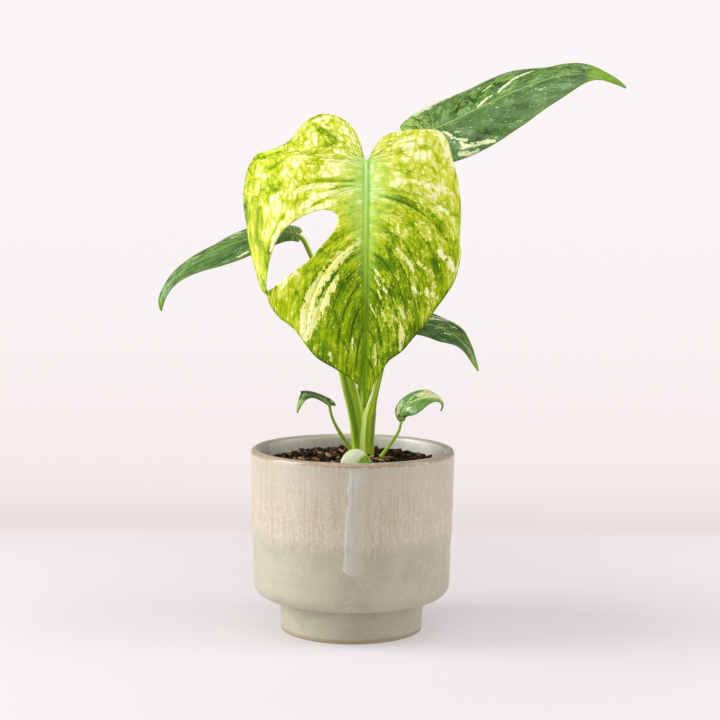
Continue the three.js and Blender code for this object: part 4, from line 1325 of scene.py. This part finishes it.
def glaze_finish():
    """Oat glaze over celadon, with a pale run down the front, a bare rim and foot, and specks of iron."""
    pot = bpy.context.scene.monstera_pot
    finish = Finish("dripped_stoneware_glaze")
    place = finish.place()
    x, y, z = place.parts()
    streaks = finish.noise(finish.scaled(place, 1, 1, 0.05), 0.5, 4, 0.65)
    fine = finish.noise(finish.scaled(place, 1, 1, 0.055), 1.7, 3, 0.6)
    worms = finish.noise(finish.scaled(place, 1, 1, 0.3), 0.9, 3, 0.6)
    cloud = finish.noise(place, 0.05, 4, 0.6)
    grain = finish.noise(place, 1.1, 3, 0.7)

    # Oat glaze: fine milky streaks, greyer towards the rim, with denser dabs low down
    oat = finish.mix(pot.oat, pot.straw, streaks.step(0.54, 0.38) * 0.5)
    oat = finish.mix(oat, pot.milk, fine.step(0.5, 0.66) * 0.36)
    oat = finish.mix(oat, tint(182, 176, 162), z.step(92, 112) * 0.45)
    dabs = worms.step(0.5, 0.62) * z.step(62, 72) * z.step(102, 84)
    oat = finish.mix(oat, pot.milk, dabs * 0.32)
    # Milky loops, fine as hair, over the whole oat glaze
    hairs = finish.noise(finish.wavering(finish.scaled(place, 1, 1, 0.34), 0.7, 0.8), 1.0)
    loops = abs(hairs - 0.5).step(0.04, 0.012) * z.step(62, 74) * z.step(121, 104)
    oat = finish.mix(oat, pot.milk, loops * (0.42 + streaks.step(0.46, 0.6) * 0.25))
    # Celadon: almost smooth, with fine crackle
    green = finish.mix(pot.celadon, pot.sage, cloud.step(0.42, 0.66) * 0.6)
    green = finish.mix(green, tint(200, 198, 178), grain.step(0.56, 0.74) * 0.35)
    crackle = finish.cells(finish.wavering(place, 0.6, 0.9), 0.7, "DISTANCE_TO_EDGE")
    green = finish.mix(green, shade(pot.sage, 0.8), crackle.step(0.08, 0.02) * 0.4)
    above_drips = (z - pot.drip_line / MM) + (streaks - 0.5) * 26 + (worms - 0.5) * 14 + (cloud - 0.5) * 24
    base = finish.mix(green, oat, above_drips.step(-7, 6))

    # The pale run down the front, with a crisp left edge and a soft right one
    wander = (cloud - 0.5) * 5 + (finish.noise(place, 0.11) - 0.5) * 7
    widening = (122 - z) * 0.055
    beyond = (56 - z).most(0)
    narrowing = beyond * beyond * 0.24
    from_left = x + widening - narrowing + wander
    from_right = x - widening + narrowing + wander
    run = (from_left + 2.2).step(-0.35, 0.35) * (from_right - 5.5).step(4.6, -4.2)
    run = run * y.step(0, -20) * z.step(123, 118)
    mist = finish.mix(pot.mist, shade(pot.mist, 0.86), streaks.step(0.5, 0.36) * 0.5)
    base = finish.mix(base, mist, run * (0.5 + z.step(70, 115) * 0.1 + z.step(68, 54) * 0.15))
    # A painted highlight lightens the run along its crisp left edge.
    highlight_edge = run * (from_left + 0.8).step(0.7, -0.3)
    base = finish.mix(base, tint(222, 214, 204), highlight_edge * 0.4)

    # The rim's outer edge, bare and tan where the glaze has drawn back, and a milky lip whose pale top is
    # partly a painted highlight
    radius = (x * x + y * y) ** 0.5
    outer_side = radius.step(66.6, 67.4)
    bites = finish.noise(finish.scaled(place, 1, 1, 0.3), 0.32, 3, 0.7)
    bare = outer_side * (z + (bites - 0.5) * 4).step(122.2, 123.2) * z.step(125.8, 125.2)
    tan = finish.mix(tint(148, 122, 90), tint(200, 186, 164), fine.step(0.5, 0.62) * 0.5)
    base = finish.mix(base, tan, bare * (0.7 + bites.step(0.44, 0.56) * 0.2))
    # Pale patches on top of the lip: milky glaze, and in part a painted highlight.
    milky_lip_and_highlight = z.step(124.8, 125.4) * bites.step(0.62, 0.46)
    base = finish.mix(base, tint(204, 197, 186), milky_lip_and_highlight * 0.4)
    # Specks of iron, and finer ones low down
    specks = finish.spots(place, 0.34, 0.3, 0.15, 0.09, 0.08)
    base = finish.mix(base, tint(92, 84, 66), specks * 0.6)
    dust = finish.cells(place, 0.9)
    base = finish.mix(base, tint(118, 112, 88), dust.step(0.2, 0.12) * z.step(76, 58) * 0.5)
    # Inside, a smooth pale glaze
    inside = radius.step(66.2, 65.2) * z.step(60, 100)
    inner = finish.mix(tint(217, 215, 205), tint(206, 204, 192), streaks.step(0.6, 0.36))
    base = finish.mix(base, inner, inside * z.step(124.8, 123.4))
    # The bare clay that the pot stands on, and the dark line where the glaze ends above it
    clay = finish.mix(pot.clay, shade(pot.clay, 0.75), grain.step(0.4, 0.6) * 0.5)
    base = finish.mix(base, clay, (z + (grain - 0.5) * 1.4).step(2.2, 1.4))
    base = finish.mix(base, shade(pot.sage, 0.4), z.step(1.6, 2.3) * z.step(3.4, 2.4) * 0.5)
    glazed = z.step(1.4, 2.4)
    wet_lip = z.step(123.2, 124.2)
    height = (streaks * 0.5 + fine * 0.3 + worms * 0.3 + grain * 0.2) * (1 - inside * 0.75) + run
    return finish.wear(
        base_color=base,
        roughness=0.62 - glazed * 0.24 + grain * 0.12,
        coat_weight=glazed * 0.3 + wet_lip * 0.6,
        coat_roughness=0.14,
        normal=finish.bump(height, 0.2 * MM, 0.7),
    )


# Soil


def from_lowest_leaf(x, y):
    return np.hypot(x - LOWEST_LEAF["x"], y - LOWEST_LEAF["y"])


def soil_height(x, y):
    """The mound, uneven except at the pot's wall, and hollowed round the lowest leaf."""
    reach = np.minimum(1, np.hypot(x, y) / MOUND_RADIUS)
    mound = SOIL_EDGE + (SOIL_CROWN - SOIL_EDGE) * np.cos(math.pi / 2 * reach) ** SOIL_SHOULDER
    grain = np.sin(x * 0.61 + 1.3) * np.sin(y * 0.53) + np.sin(x * 0.29 - y * 0.37)
    near = 1 - smooth_step(0.3, 1, from_lowest_leaf(x, y) / LOWEST_LEAF["reach"])
    return mound + SOIL_ROUGHNESS * grain * (1 - reach ** 4) - LOWEST_LEAF["dip"] * near


def build_soil():
    """The mound of peat, turned with a flat top at first, and the chips on it."""
    rings, sides = 42, 150
    flat_top = 120
    sink, crumbs = 0.6, 0.35
    seed = 5
    wall = [(SOIL_RADIUS, height) for height in (SOIL_BOTTOM, 106, 110)]
    top = [(SOIL_RADIUS * (1 - i / rings), flat_top) for i in range(rings + 1)]
    bm = turned([(0, SOIL_BOTTOM), *wall, *top], sides)
    draw = random.Random(seed)
    for vert in bm.verts:
        if vert.co.z > flat_top - 5:
            vert.co.z = soil_height(vert.co.x, vert.co.y) - sink + draw.uniform(-crumbs, crumbs)
    finish_piece(bm, "peat", "soil", peat_finish())
    build_chips(draw)


def chip_templates(draw):
    """Bark chips of a few dozen faces each: blocks with blunt corners and a split, uneven surface."""
    kinds = 10
    templates = []
    for _ in range(kinds):
        bm = bmesh.new()
        bmesh.ops.create_cube(bm, size=1)
        bmesh.ops.subdivide_edges(bm, edges=bm.edges, cuts=1, use_grid_fill=True)
        for vert in bm.verts:
            is_corner = len(vert.link_edges) == 3
            if is_corner:
                vert.co *= 0.8 + 0.12 * draw.random()
            vert.co.x += draw.uniform(-0.1, 0.1)
            vert.co.y += draw.uniform(-0.1, 0.1)
            vert.co.z += draw.uniform(-0.16, 0.16)
        mesh = bpy.data.meshes.new("chip_template")
        bm.to_mesh(mesh)
        bm.free()
        templates.append(mesh)
    return templates


def build_chips(draw):
    """Chips strewn evenly over the soil, each turned and tilted its own way.

    `tone` keeps three random numbers for each chip, and in alpha how high a point lies on it.
    """
    soil = bpy.context.scene.monstera_soil
    templates = chip_templates(draw)
    bm = bmesh.new()
    tone_layer = bm.verts.layers.float_color.new("tone")
    golden_angle = math.pi * (3 - math.sqrt(5))
    strewn_radius = 61.8
    wall_radius = 62.6
    slope_start = 50
    painted_shade_height = 2.4
    longest = soil.chip_length / MM
    for i in range(soil.chip_count):
        chip = draw.choice(templates).copy()
        length = longest * (0.2 + 0.8 * draw.random() ** 3.2)
        radius = min(strewn_radius * math.sqrt((i + 0.5) / soil.chip_count), wall_radius - length * 0.5)
        x, y = radius * math.cos(i * golden_angle), radius * math.sin(i * golden_angle)
        near = from_lowest_leaf(x, y) < LOWEST_LEAF["clear"]
        if near:
            length = min(length, LOWEST_LEAF["longest_chip"])
        width, depth = length * draw.uniform(0.35, 0.7), length * draw.uniform(0.16, 0.38)
        turn = Matrix.Rotation(draw.uniform(0, math.tau), 4, "Z")
        tilt = Matrix.Rotation(draw.gauss(0, 0.45), 4, "X") @ Matrix.Rotation(draw.gauss(0, 0.3), 4, "Y")
        rise = draw.uniform(-0.5, 1.0) - (1 if near else 0) - max(0, radius - slope_start) * 0.1
        ground = float(soil_height(x, y)) + rise
        size = Matrix.Diagonal((length, width, depth, 1))
        chip.transform(Matrix.Translation((x, y, ground)) @ turn @ tilt @ size)
        known = len(bm.verts)
        bm.from_mesh(chip)
        bpy.data.meshes.remove(chip)
        bm.verts.ensure_lookup_table()
        tone = (draw.random(), draw.random(), draw.random())
        for place in range(known, len(bm.verts)):
            vert = bm.verts[place]
            vert[tone_layer] = (*tone, min(max((vert.co.z - ground) / painted_shade_height + 0.5, 0), 1))
    for mesh in templates:
        bpy.data.meshes.remove(mesh)
    bmesh.ops.recalc_face_normals(bm, faces=bm.faces)
    piece = finish_piece(bm, "bark_chips", None, bark_finish())
    for polygon in piece.data.polygons:
        polygon.use_smooth = False


def peat_finish():
    """Near-black crumbs with a few pale fibres."""
    soil = bpy.context.scene.monstera_soil
    finish = Finish("peat_crumbs")
    place = finish.place()
    crumb = finish.noise(place, 0.9, 5, 0.7)
    fibre = finish.noise(place, 2.4, 2, 0.6)
    base = finish.mix(soil.peat, shade(soil.peat, 2.2), crumb.step(0.52, 0.7))
    base = finish.mix(base, shade(soil.fresh, 0.8), fibre.step(0.68, 0.76) * 0.6)
    return finish.wear(
        base_color=base,
        roughness=0.95,
        specular_ior_level=0.1,
        normal=finish.bump(crumb, 0.8 * MM, 1.0),
    )


def bark_finish():
    """Dark bark, here and there paler, redder or dusty, and darkened low on each chip by a painted shade."""
    soil = bpy.context.scene.monstera_soil
    finish = Finish("bark_chips")
    pale, red, dusty = finish.attribute("tone", "Color").channels()
    place = finish.place()
    fibre = finish.noise(finish.scaled(place, 1, 0.35, 1.3), 1.2, 4, 0.7)
    speck = finish.noise(place, 2.2, 2, 0.6)
    base = finish.mix(shade(soil.bark, 0.3), soil.bark, fibre.step(0.38, 0.62))
    base = finish.mix(base, shade(soil.bark, 0.35), dusty.step(0.45, 0.2) * 0.8)
    base = finish.mix(base, soil.fresh, pale.step(0.7, 0.94) * 0.85)
    base = finish.mix(base, tint(120, 82, 50), red.step(0.8, 0.96) * 0.45)
    base = finish.mix(base, tint(206, 178, 152), speck.step(0.64, 0.7) * (0.25 + dusty * 0.6))
    base = finish.mix(base, shade(soil.peat, 0.6), speck.step(0.42, 0.32) * 0.6)
    # Painted shade: each chip darkens towards its lowest part, where the chips shade each other.
    unshaded_share = finish.attribute("tone", "Alpha")
    base = finish.mix(shade(soil.peat, 0.5), base, unshaded_share.step(0.25, 0.85))
    return finish.wear(
        base_color=base,
        roughness=0.74 + 0.2 * fibre,
        specular_ior_level=0.1,
        normal=finish.bump(fibre + speck * 0.5, 0.5 * MM, 0.9),
    )


# Stage, in metres. The camera's angles are in radians, and its lens and sensor in millimetres.


CAMERA = {"place": (0.00446, -1.25, 0.315), "down": 0.1027, "roll": 0.0089, "lens": 91.9, "sensor": 36}
AIM = (0, 0, 0.2)
FLOOR_SIZE = 40
FLOOR_DROP = 0.0002
SEEN_BACKDROP = tint(251, 245, 245)
AMBIENT_TINT = tint(250, 246, 246)


def emit(tree, colour, strength):
    shader = tree.nodes.new("ShaderNodeEmission")
    shader.inputs["Color"].default_value = (*colour, 1)
    shader.inputs["Strength"].default_value = strength
    return shader


def blended(tree, factor, first, second):
    """Two shaders mixed by a socket that runs from 0 to 1."""
    blend = tree.nodes.new("ShaderNodeMixShader")
    tree.links.new(factor, blend.inputs["Fac"])
    tree.links.new(first.outputs[0], blend.inputs[1])
    tree.links.new(second.outputs[0], blend.inputs[2])
    return blend.outputs[0]


def floor_finish():
    """A glowing sweep whose tones dip at a line behind the pot, a painted shadow where a wall would meet the
    floor. Near the pot it takes light and shadow.
    """
    stage = bpy.context.scene.monstera_stage
    finish = Finish("studio_floor")
    x, y, _ = finish.object_place().parts()
    # Falls from front to back, ever slower
    nearness = 1.05 / (y + 1.25).most(0.02)
    # The tones are painted: they darken at the line where a wall would meet the floor, a painted shadow, and
    # lighten again beyond it.
    colour = finish.ramp(
        nearness,
        (0.052, tint(250, 244, 245)), (0.234, tint(249, 243, 243)), (0.417, tint(247, 239, 239)),
        (0.565, tint(244, 234, 234)), (0.63, tint(237, 226, 225)), (0.649, tint(236, 224, 223)),
        (0.661, tint(237, 227, 226)), (0.668, tint(240, 232, 233)), (0.716, tint(244, 238, 239)),
        (0.794, tint(248, 243, 244)), (0.893, tint(251, 246, 248)),
    )
    glow = finish.tree.nodes.new("ShaderNodeEmission")
    finish.feed(glow.inputs["Color"], colour)
    finish.wear(base_color=(*stage.floor, 1), roughness=0.9, specular_ior_level=0.1)
    near_pot = ((x * x + y * y) ** 0.5).step(0.5, 0.16) * 0.6
    shader = blended(finish.tree, near_pot.socket, glow, finish.surface)
    output = next(node for node in finish.tree.nodes if node.type == "OUTPUT_MATERIAL")
    finish.tree.links.new(shader, output.inputs["Surface"])
    return finish.material


def softbox(name, place, size, power):
    light = bpy.data.lights.new(name, "AREA")
    light.shape = "RECTANGLE"
    light.size, light.size_y = size
    light.energy = power
    lamp = bpy.data.objects.new(name, light)
    bpy.context.scene.collection.objects.link(lamp)
    lamp.location = place
    lamp.rotation_euler = (Vector(AIM) - Vector(place)).to_track_quat("-Z", "Y").to_euler()


def lay_floor():
    bm = bmesh.new()
    bmesh.ops.create_grid(bm, x_segments=8, y_segments=8, size=FLOOR_SIZE)
    bmesh.ops.translate(bm, vec=(0, 0, -FLOOR_DROP), verts=bm.verts)
    mesh = bpy.data.meshes.new("studio_floor")
    bm.to_mesh(mesh)
    bm.free()
    floor = bpy.data.objects.new("studio_floor", mesh)
    bpy.context.scene.collection.objects.link(floor)
    mesh.materials.append(floor_finish())


def light_world():
    """A soft light from all round, and a brighter backdrop that only the camera sees."""
    world = bpy.data.worlds.new("studio_light")
    bpy.context.scene.world = world
    world.use_nodes = True
    tree = world.node_tree
    tree.nodes.clear()
    seen = emit(tree, SEEN_BACKDROP, 1.0)
    ambient = emit(tree, AMBIENT_TINT, bpy.context.scene.monstera_stage.ambient)
    path = tree.nodes.new("ShaderNodeLightPath")
    shader = blended(tree, path.outputs["Is Camera Ray"], ambient, seen)
    output = tree.nodes.new("ShaderNodeOutputWorld")
    tree.links.new(shader, output.inputs["Surface"])


def set_camera():
    scene = bpy.context.scene
    camera = bpy.data.cameras.new("photo_camera")
    camera.sensor_width = CAMERA["sensor"]
    camera.lens = CAMERA["lens"]
    viewer = bpy.data.objects.new("photo_camera", camera)
    scene.collection.objects.link(viewer)
    tilt = Matrix.Rotation(math.pi / 2 - CAMERA["down"], 4, "X")
    roll = Matrix.Rotation(CAMERA["roll"], 4, "Z")
    viewer.matrix_world = Matrix.Translation(CAMERA["place"]) @ tilt @ roll
    scene.camera = viewer
    scene.view_settings.view_transform = "Standard"


def build_stage():
    stage = bpy.context.scene.monstera_stage
    lay_floor()
    light_world()
    softbox("left_softbox", (-1.3, -0.15, 0.7), (0.8, 1.2), stage.left_light)
    softbox("right_softbox", (1.3, -0.15, 0.7), (0.7, 1.2), stage.right_light)
    softbox("overhead_softbox", (0.05, -0.35, 1.5), (1.2, 1.0), stage.top_light)
    softbox("front_softbox", (-0.2, -1.9, 0.9), (1.4, 0.9), stage.front_light)
    set_camera()


# Operators


class MONSTERA_OT_pot(Operator):
    """Turns the glazed stoneware pot"""

    bl_idname = "monstera.pot"
    bl_label = "Stoneware pot"

    def execute(self, context):
        build_pot()
        return {"FINISHED"}


class MONSTERA_OT_soil(Operator):
    """Heaps the peat and strews the bark chips"""

    bl_idname = "monstera.soil"
    bl_label = "Bark soil"

    def execute(self, context):
        build_soil()
        return {"FINISHED"}


class MONSTERA_OT_main_leaf(Operator):
    """Grows the large lime blade with its closed hole"""

    bl_idname = "monstera.main_leaf"
    bl_label = "Large leaf"

    def execute(self, context):
        blade("large_blade", MAIN_LEAF, "main_leaf", 300, 56, lime_finish(), paint_main)
        return {"FINISHED"}


class MONSTERA_OT_side_leaves(Operator):
    """Grows the dark leaves at the upper right, left and right"""

    bl_idname = "monstera.side_leaves"
    bl_label = "Side leaves"

    def execute(self, context):
        deep = context.scene.monstera_blades.deep
        upper = dark_finish(
            "flecked_green_leaf", deep, ground=0.36, fleck_share=0.4, tip=(113, 121), edge=-1, bright_side=1
        )
        left = dark_finish(
            "dusky_green_leaf", deep, ground=0.34, fleck_share=0.26, tip=(100, 108), edge=1, bright_side=-1
        )
        right = dark_finish("dark_green_leaf", deep, ground=0.26, fleck_share=0.12, tip=(56, 62))
        blade("upper_blade", UPPER_LEAF, "upper_leaf", 240, 40, upper)
        blade("left_blade", LEFT_LEAF, "left_leaf", 200, 32, left)
        blade("right_blade", RIGHT_LEAF, "right_leaf", 160, 32, right)
        return {"FINISHED"}


class MONSTERA_OT_young_leaves(Operator):
    """Grows the three small leaves low on the plant"""

    bl_idname = "monstera.young_leaves"
    bl_label = "Young leaves"

    def execute(self, context):
        left_green, right_green = tint(66, 102, 18), tint(98, 148, 60)
        left = dark_finish("young_green_leaf", left_green, ground=0.12, fleck_share=0.04, tip=(20, 28))
        right = dark_finish("half_cream_leaf", right_green, ground=0.46, fleck_share=0.08, tip=(36, 40))
        blade("small_left_blade", SMALL_LEFT_LEAF, "small_left_leaf", 90, 18, left)
        blade("small_right_blade", SMALL_RIGHT_LEAF, "small_right_leaf", 110, 20, right)
        blade("base_blade", BASE_LEAF, "base_leaf", 60, 16, pale_finish())
        return {"FINISHED"}


class MONSTERA_OT_stalks(Operator):
    """Grows the seven leaf stalks"""

    bl_idname = "monstera.stalks"
    bl_label = "Stalks"

    def execute(self, context):
        plain = stalk_finish("stalk_skin", 0.1, 0.35)
        pale = stalk_finish("pale_stalk_skin", 0.6, 0.0)
        striped = stalk_finish("striped_stalk_skin", 0.2, 0.1, -20, -114)
        sheath = stalk_finish("sheath_skin", 0.2, 0.1, -166, -44)
        stalk("upper_stem", UPPER_STALK, "upper_stalk", sheath)
        stalk("main_stem", MAIN_STALK, "main_stalk", pale)
        stalk("left_stem", LEFT_STALK, "left_stalk", striped)
        stalk("right_stem", RIGHT_STALK, "right_stalk", plain)
        stalk("small_left_stem", SMALL_LEFT_STALK, "small_left_stalk", plain)
        stalk("small_right_stem", SMALL_RIGHT_STALK, "small_right_stalk", plain)
        stalk("base_stem", BASE_STALK, "base_stalk", plain)
        return {"FINISHED"}


class MONSTERA_OT_stage(Operator):
    """Lays the floor, hangs the lights and sets the camera"""

    bl_idname = "monstera.stage"
    bl_label = "Stage"

    def execute(self, context):
        build_stage()
        return {"FINISHED"}


OPERATORS = (
    MONSTERA_OT_pot,
    MONSTERA_OT_soil,
    MONSTERA_OT_main_leaf,
    MONSTERA_OT_side_leaves,
    MONSTERA_OT_young_leaves,
    MONSTERA_OT_stalks,
    MONSTERA_OT_stage,
)
SETTINGS = {
    "monstera_blades": MONSTERA_PG_blades,
    "monstera_stalks": MONSTERA_PG_stalks,
    "monstera_pot": MONSTERA_PG_pot,
    "monstera_soil": MONSTERA_PG_soil,
    "monstera_stage": MONSTERA_PG_stage,
}


class MONSTERA_PT_panel(Panel):
    """Sizes, colours and building steps of the plant"""

    bl_idname = "MONSTERA_PT_panel"
    bl_label = "Potted mint monstera"
    bl_space_type = "VIEW_3D"
    bl_region_type = "UI"
    bl_category = "Monstera"

    def draw(self, context):
        for name, group in SETTINGS.items():
            box = self.layout.box()
            box.label(text=name.replace("monstera_", "").title())
            for key in group.__annotations__:
                box.prop(getattr(context.scene, name), key)
        for operator in OPERATORS:
            self.layout.operator(operator.bl_idname)


def register():
    for cls in (*SETTINGS.values(), *OPERATORS, MONSTERA_PT_panel):
        bpy.utils.register_class(cls)
    for name, group in SETTINGS.items():
        setattr(bpy.types.Scene, name, PointerProperty(type=group))


def unregister():
    for name in SETTINGS:
        delattr(bpy.types.Scene, name)
    for cls in reversed((*SETTINGS.values(), *OPERATORS, MONSTERA_PT_panel)):
        bpy.utils.unregister_class(cls)


def main():
    register()
    for operator in OPERATORS:
        group, name = operator.bl_idname.split(".")
        getattr(getattr(bpy.ops, group), name)()


if __name__ == "__main__":
    main()
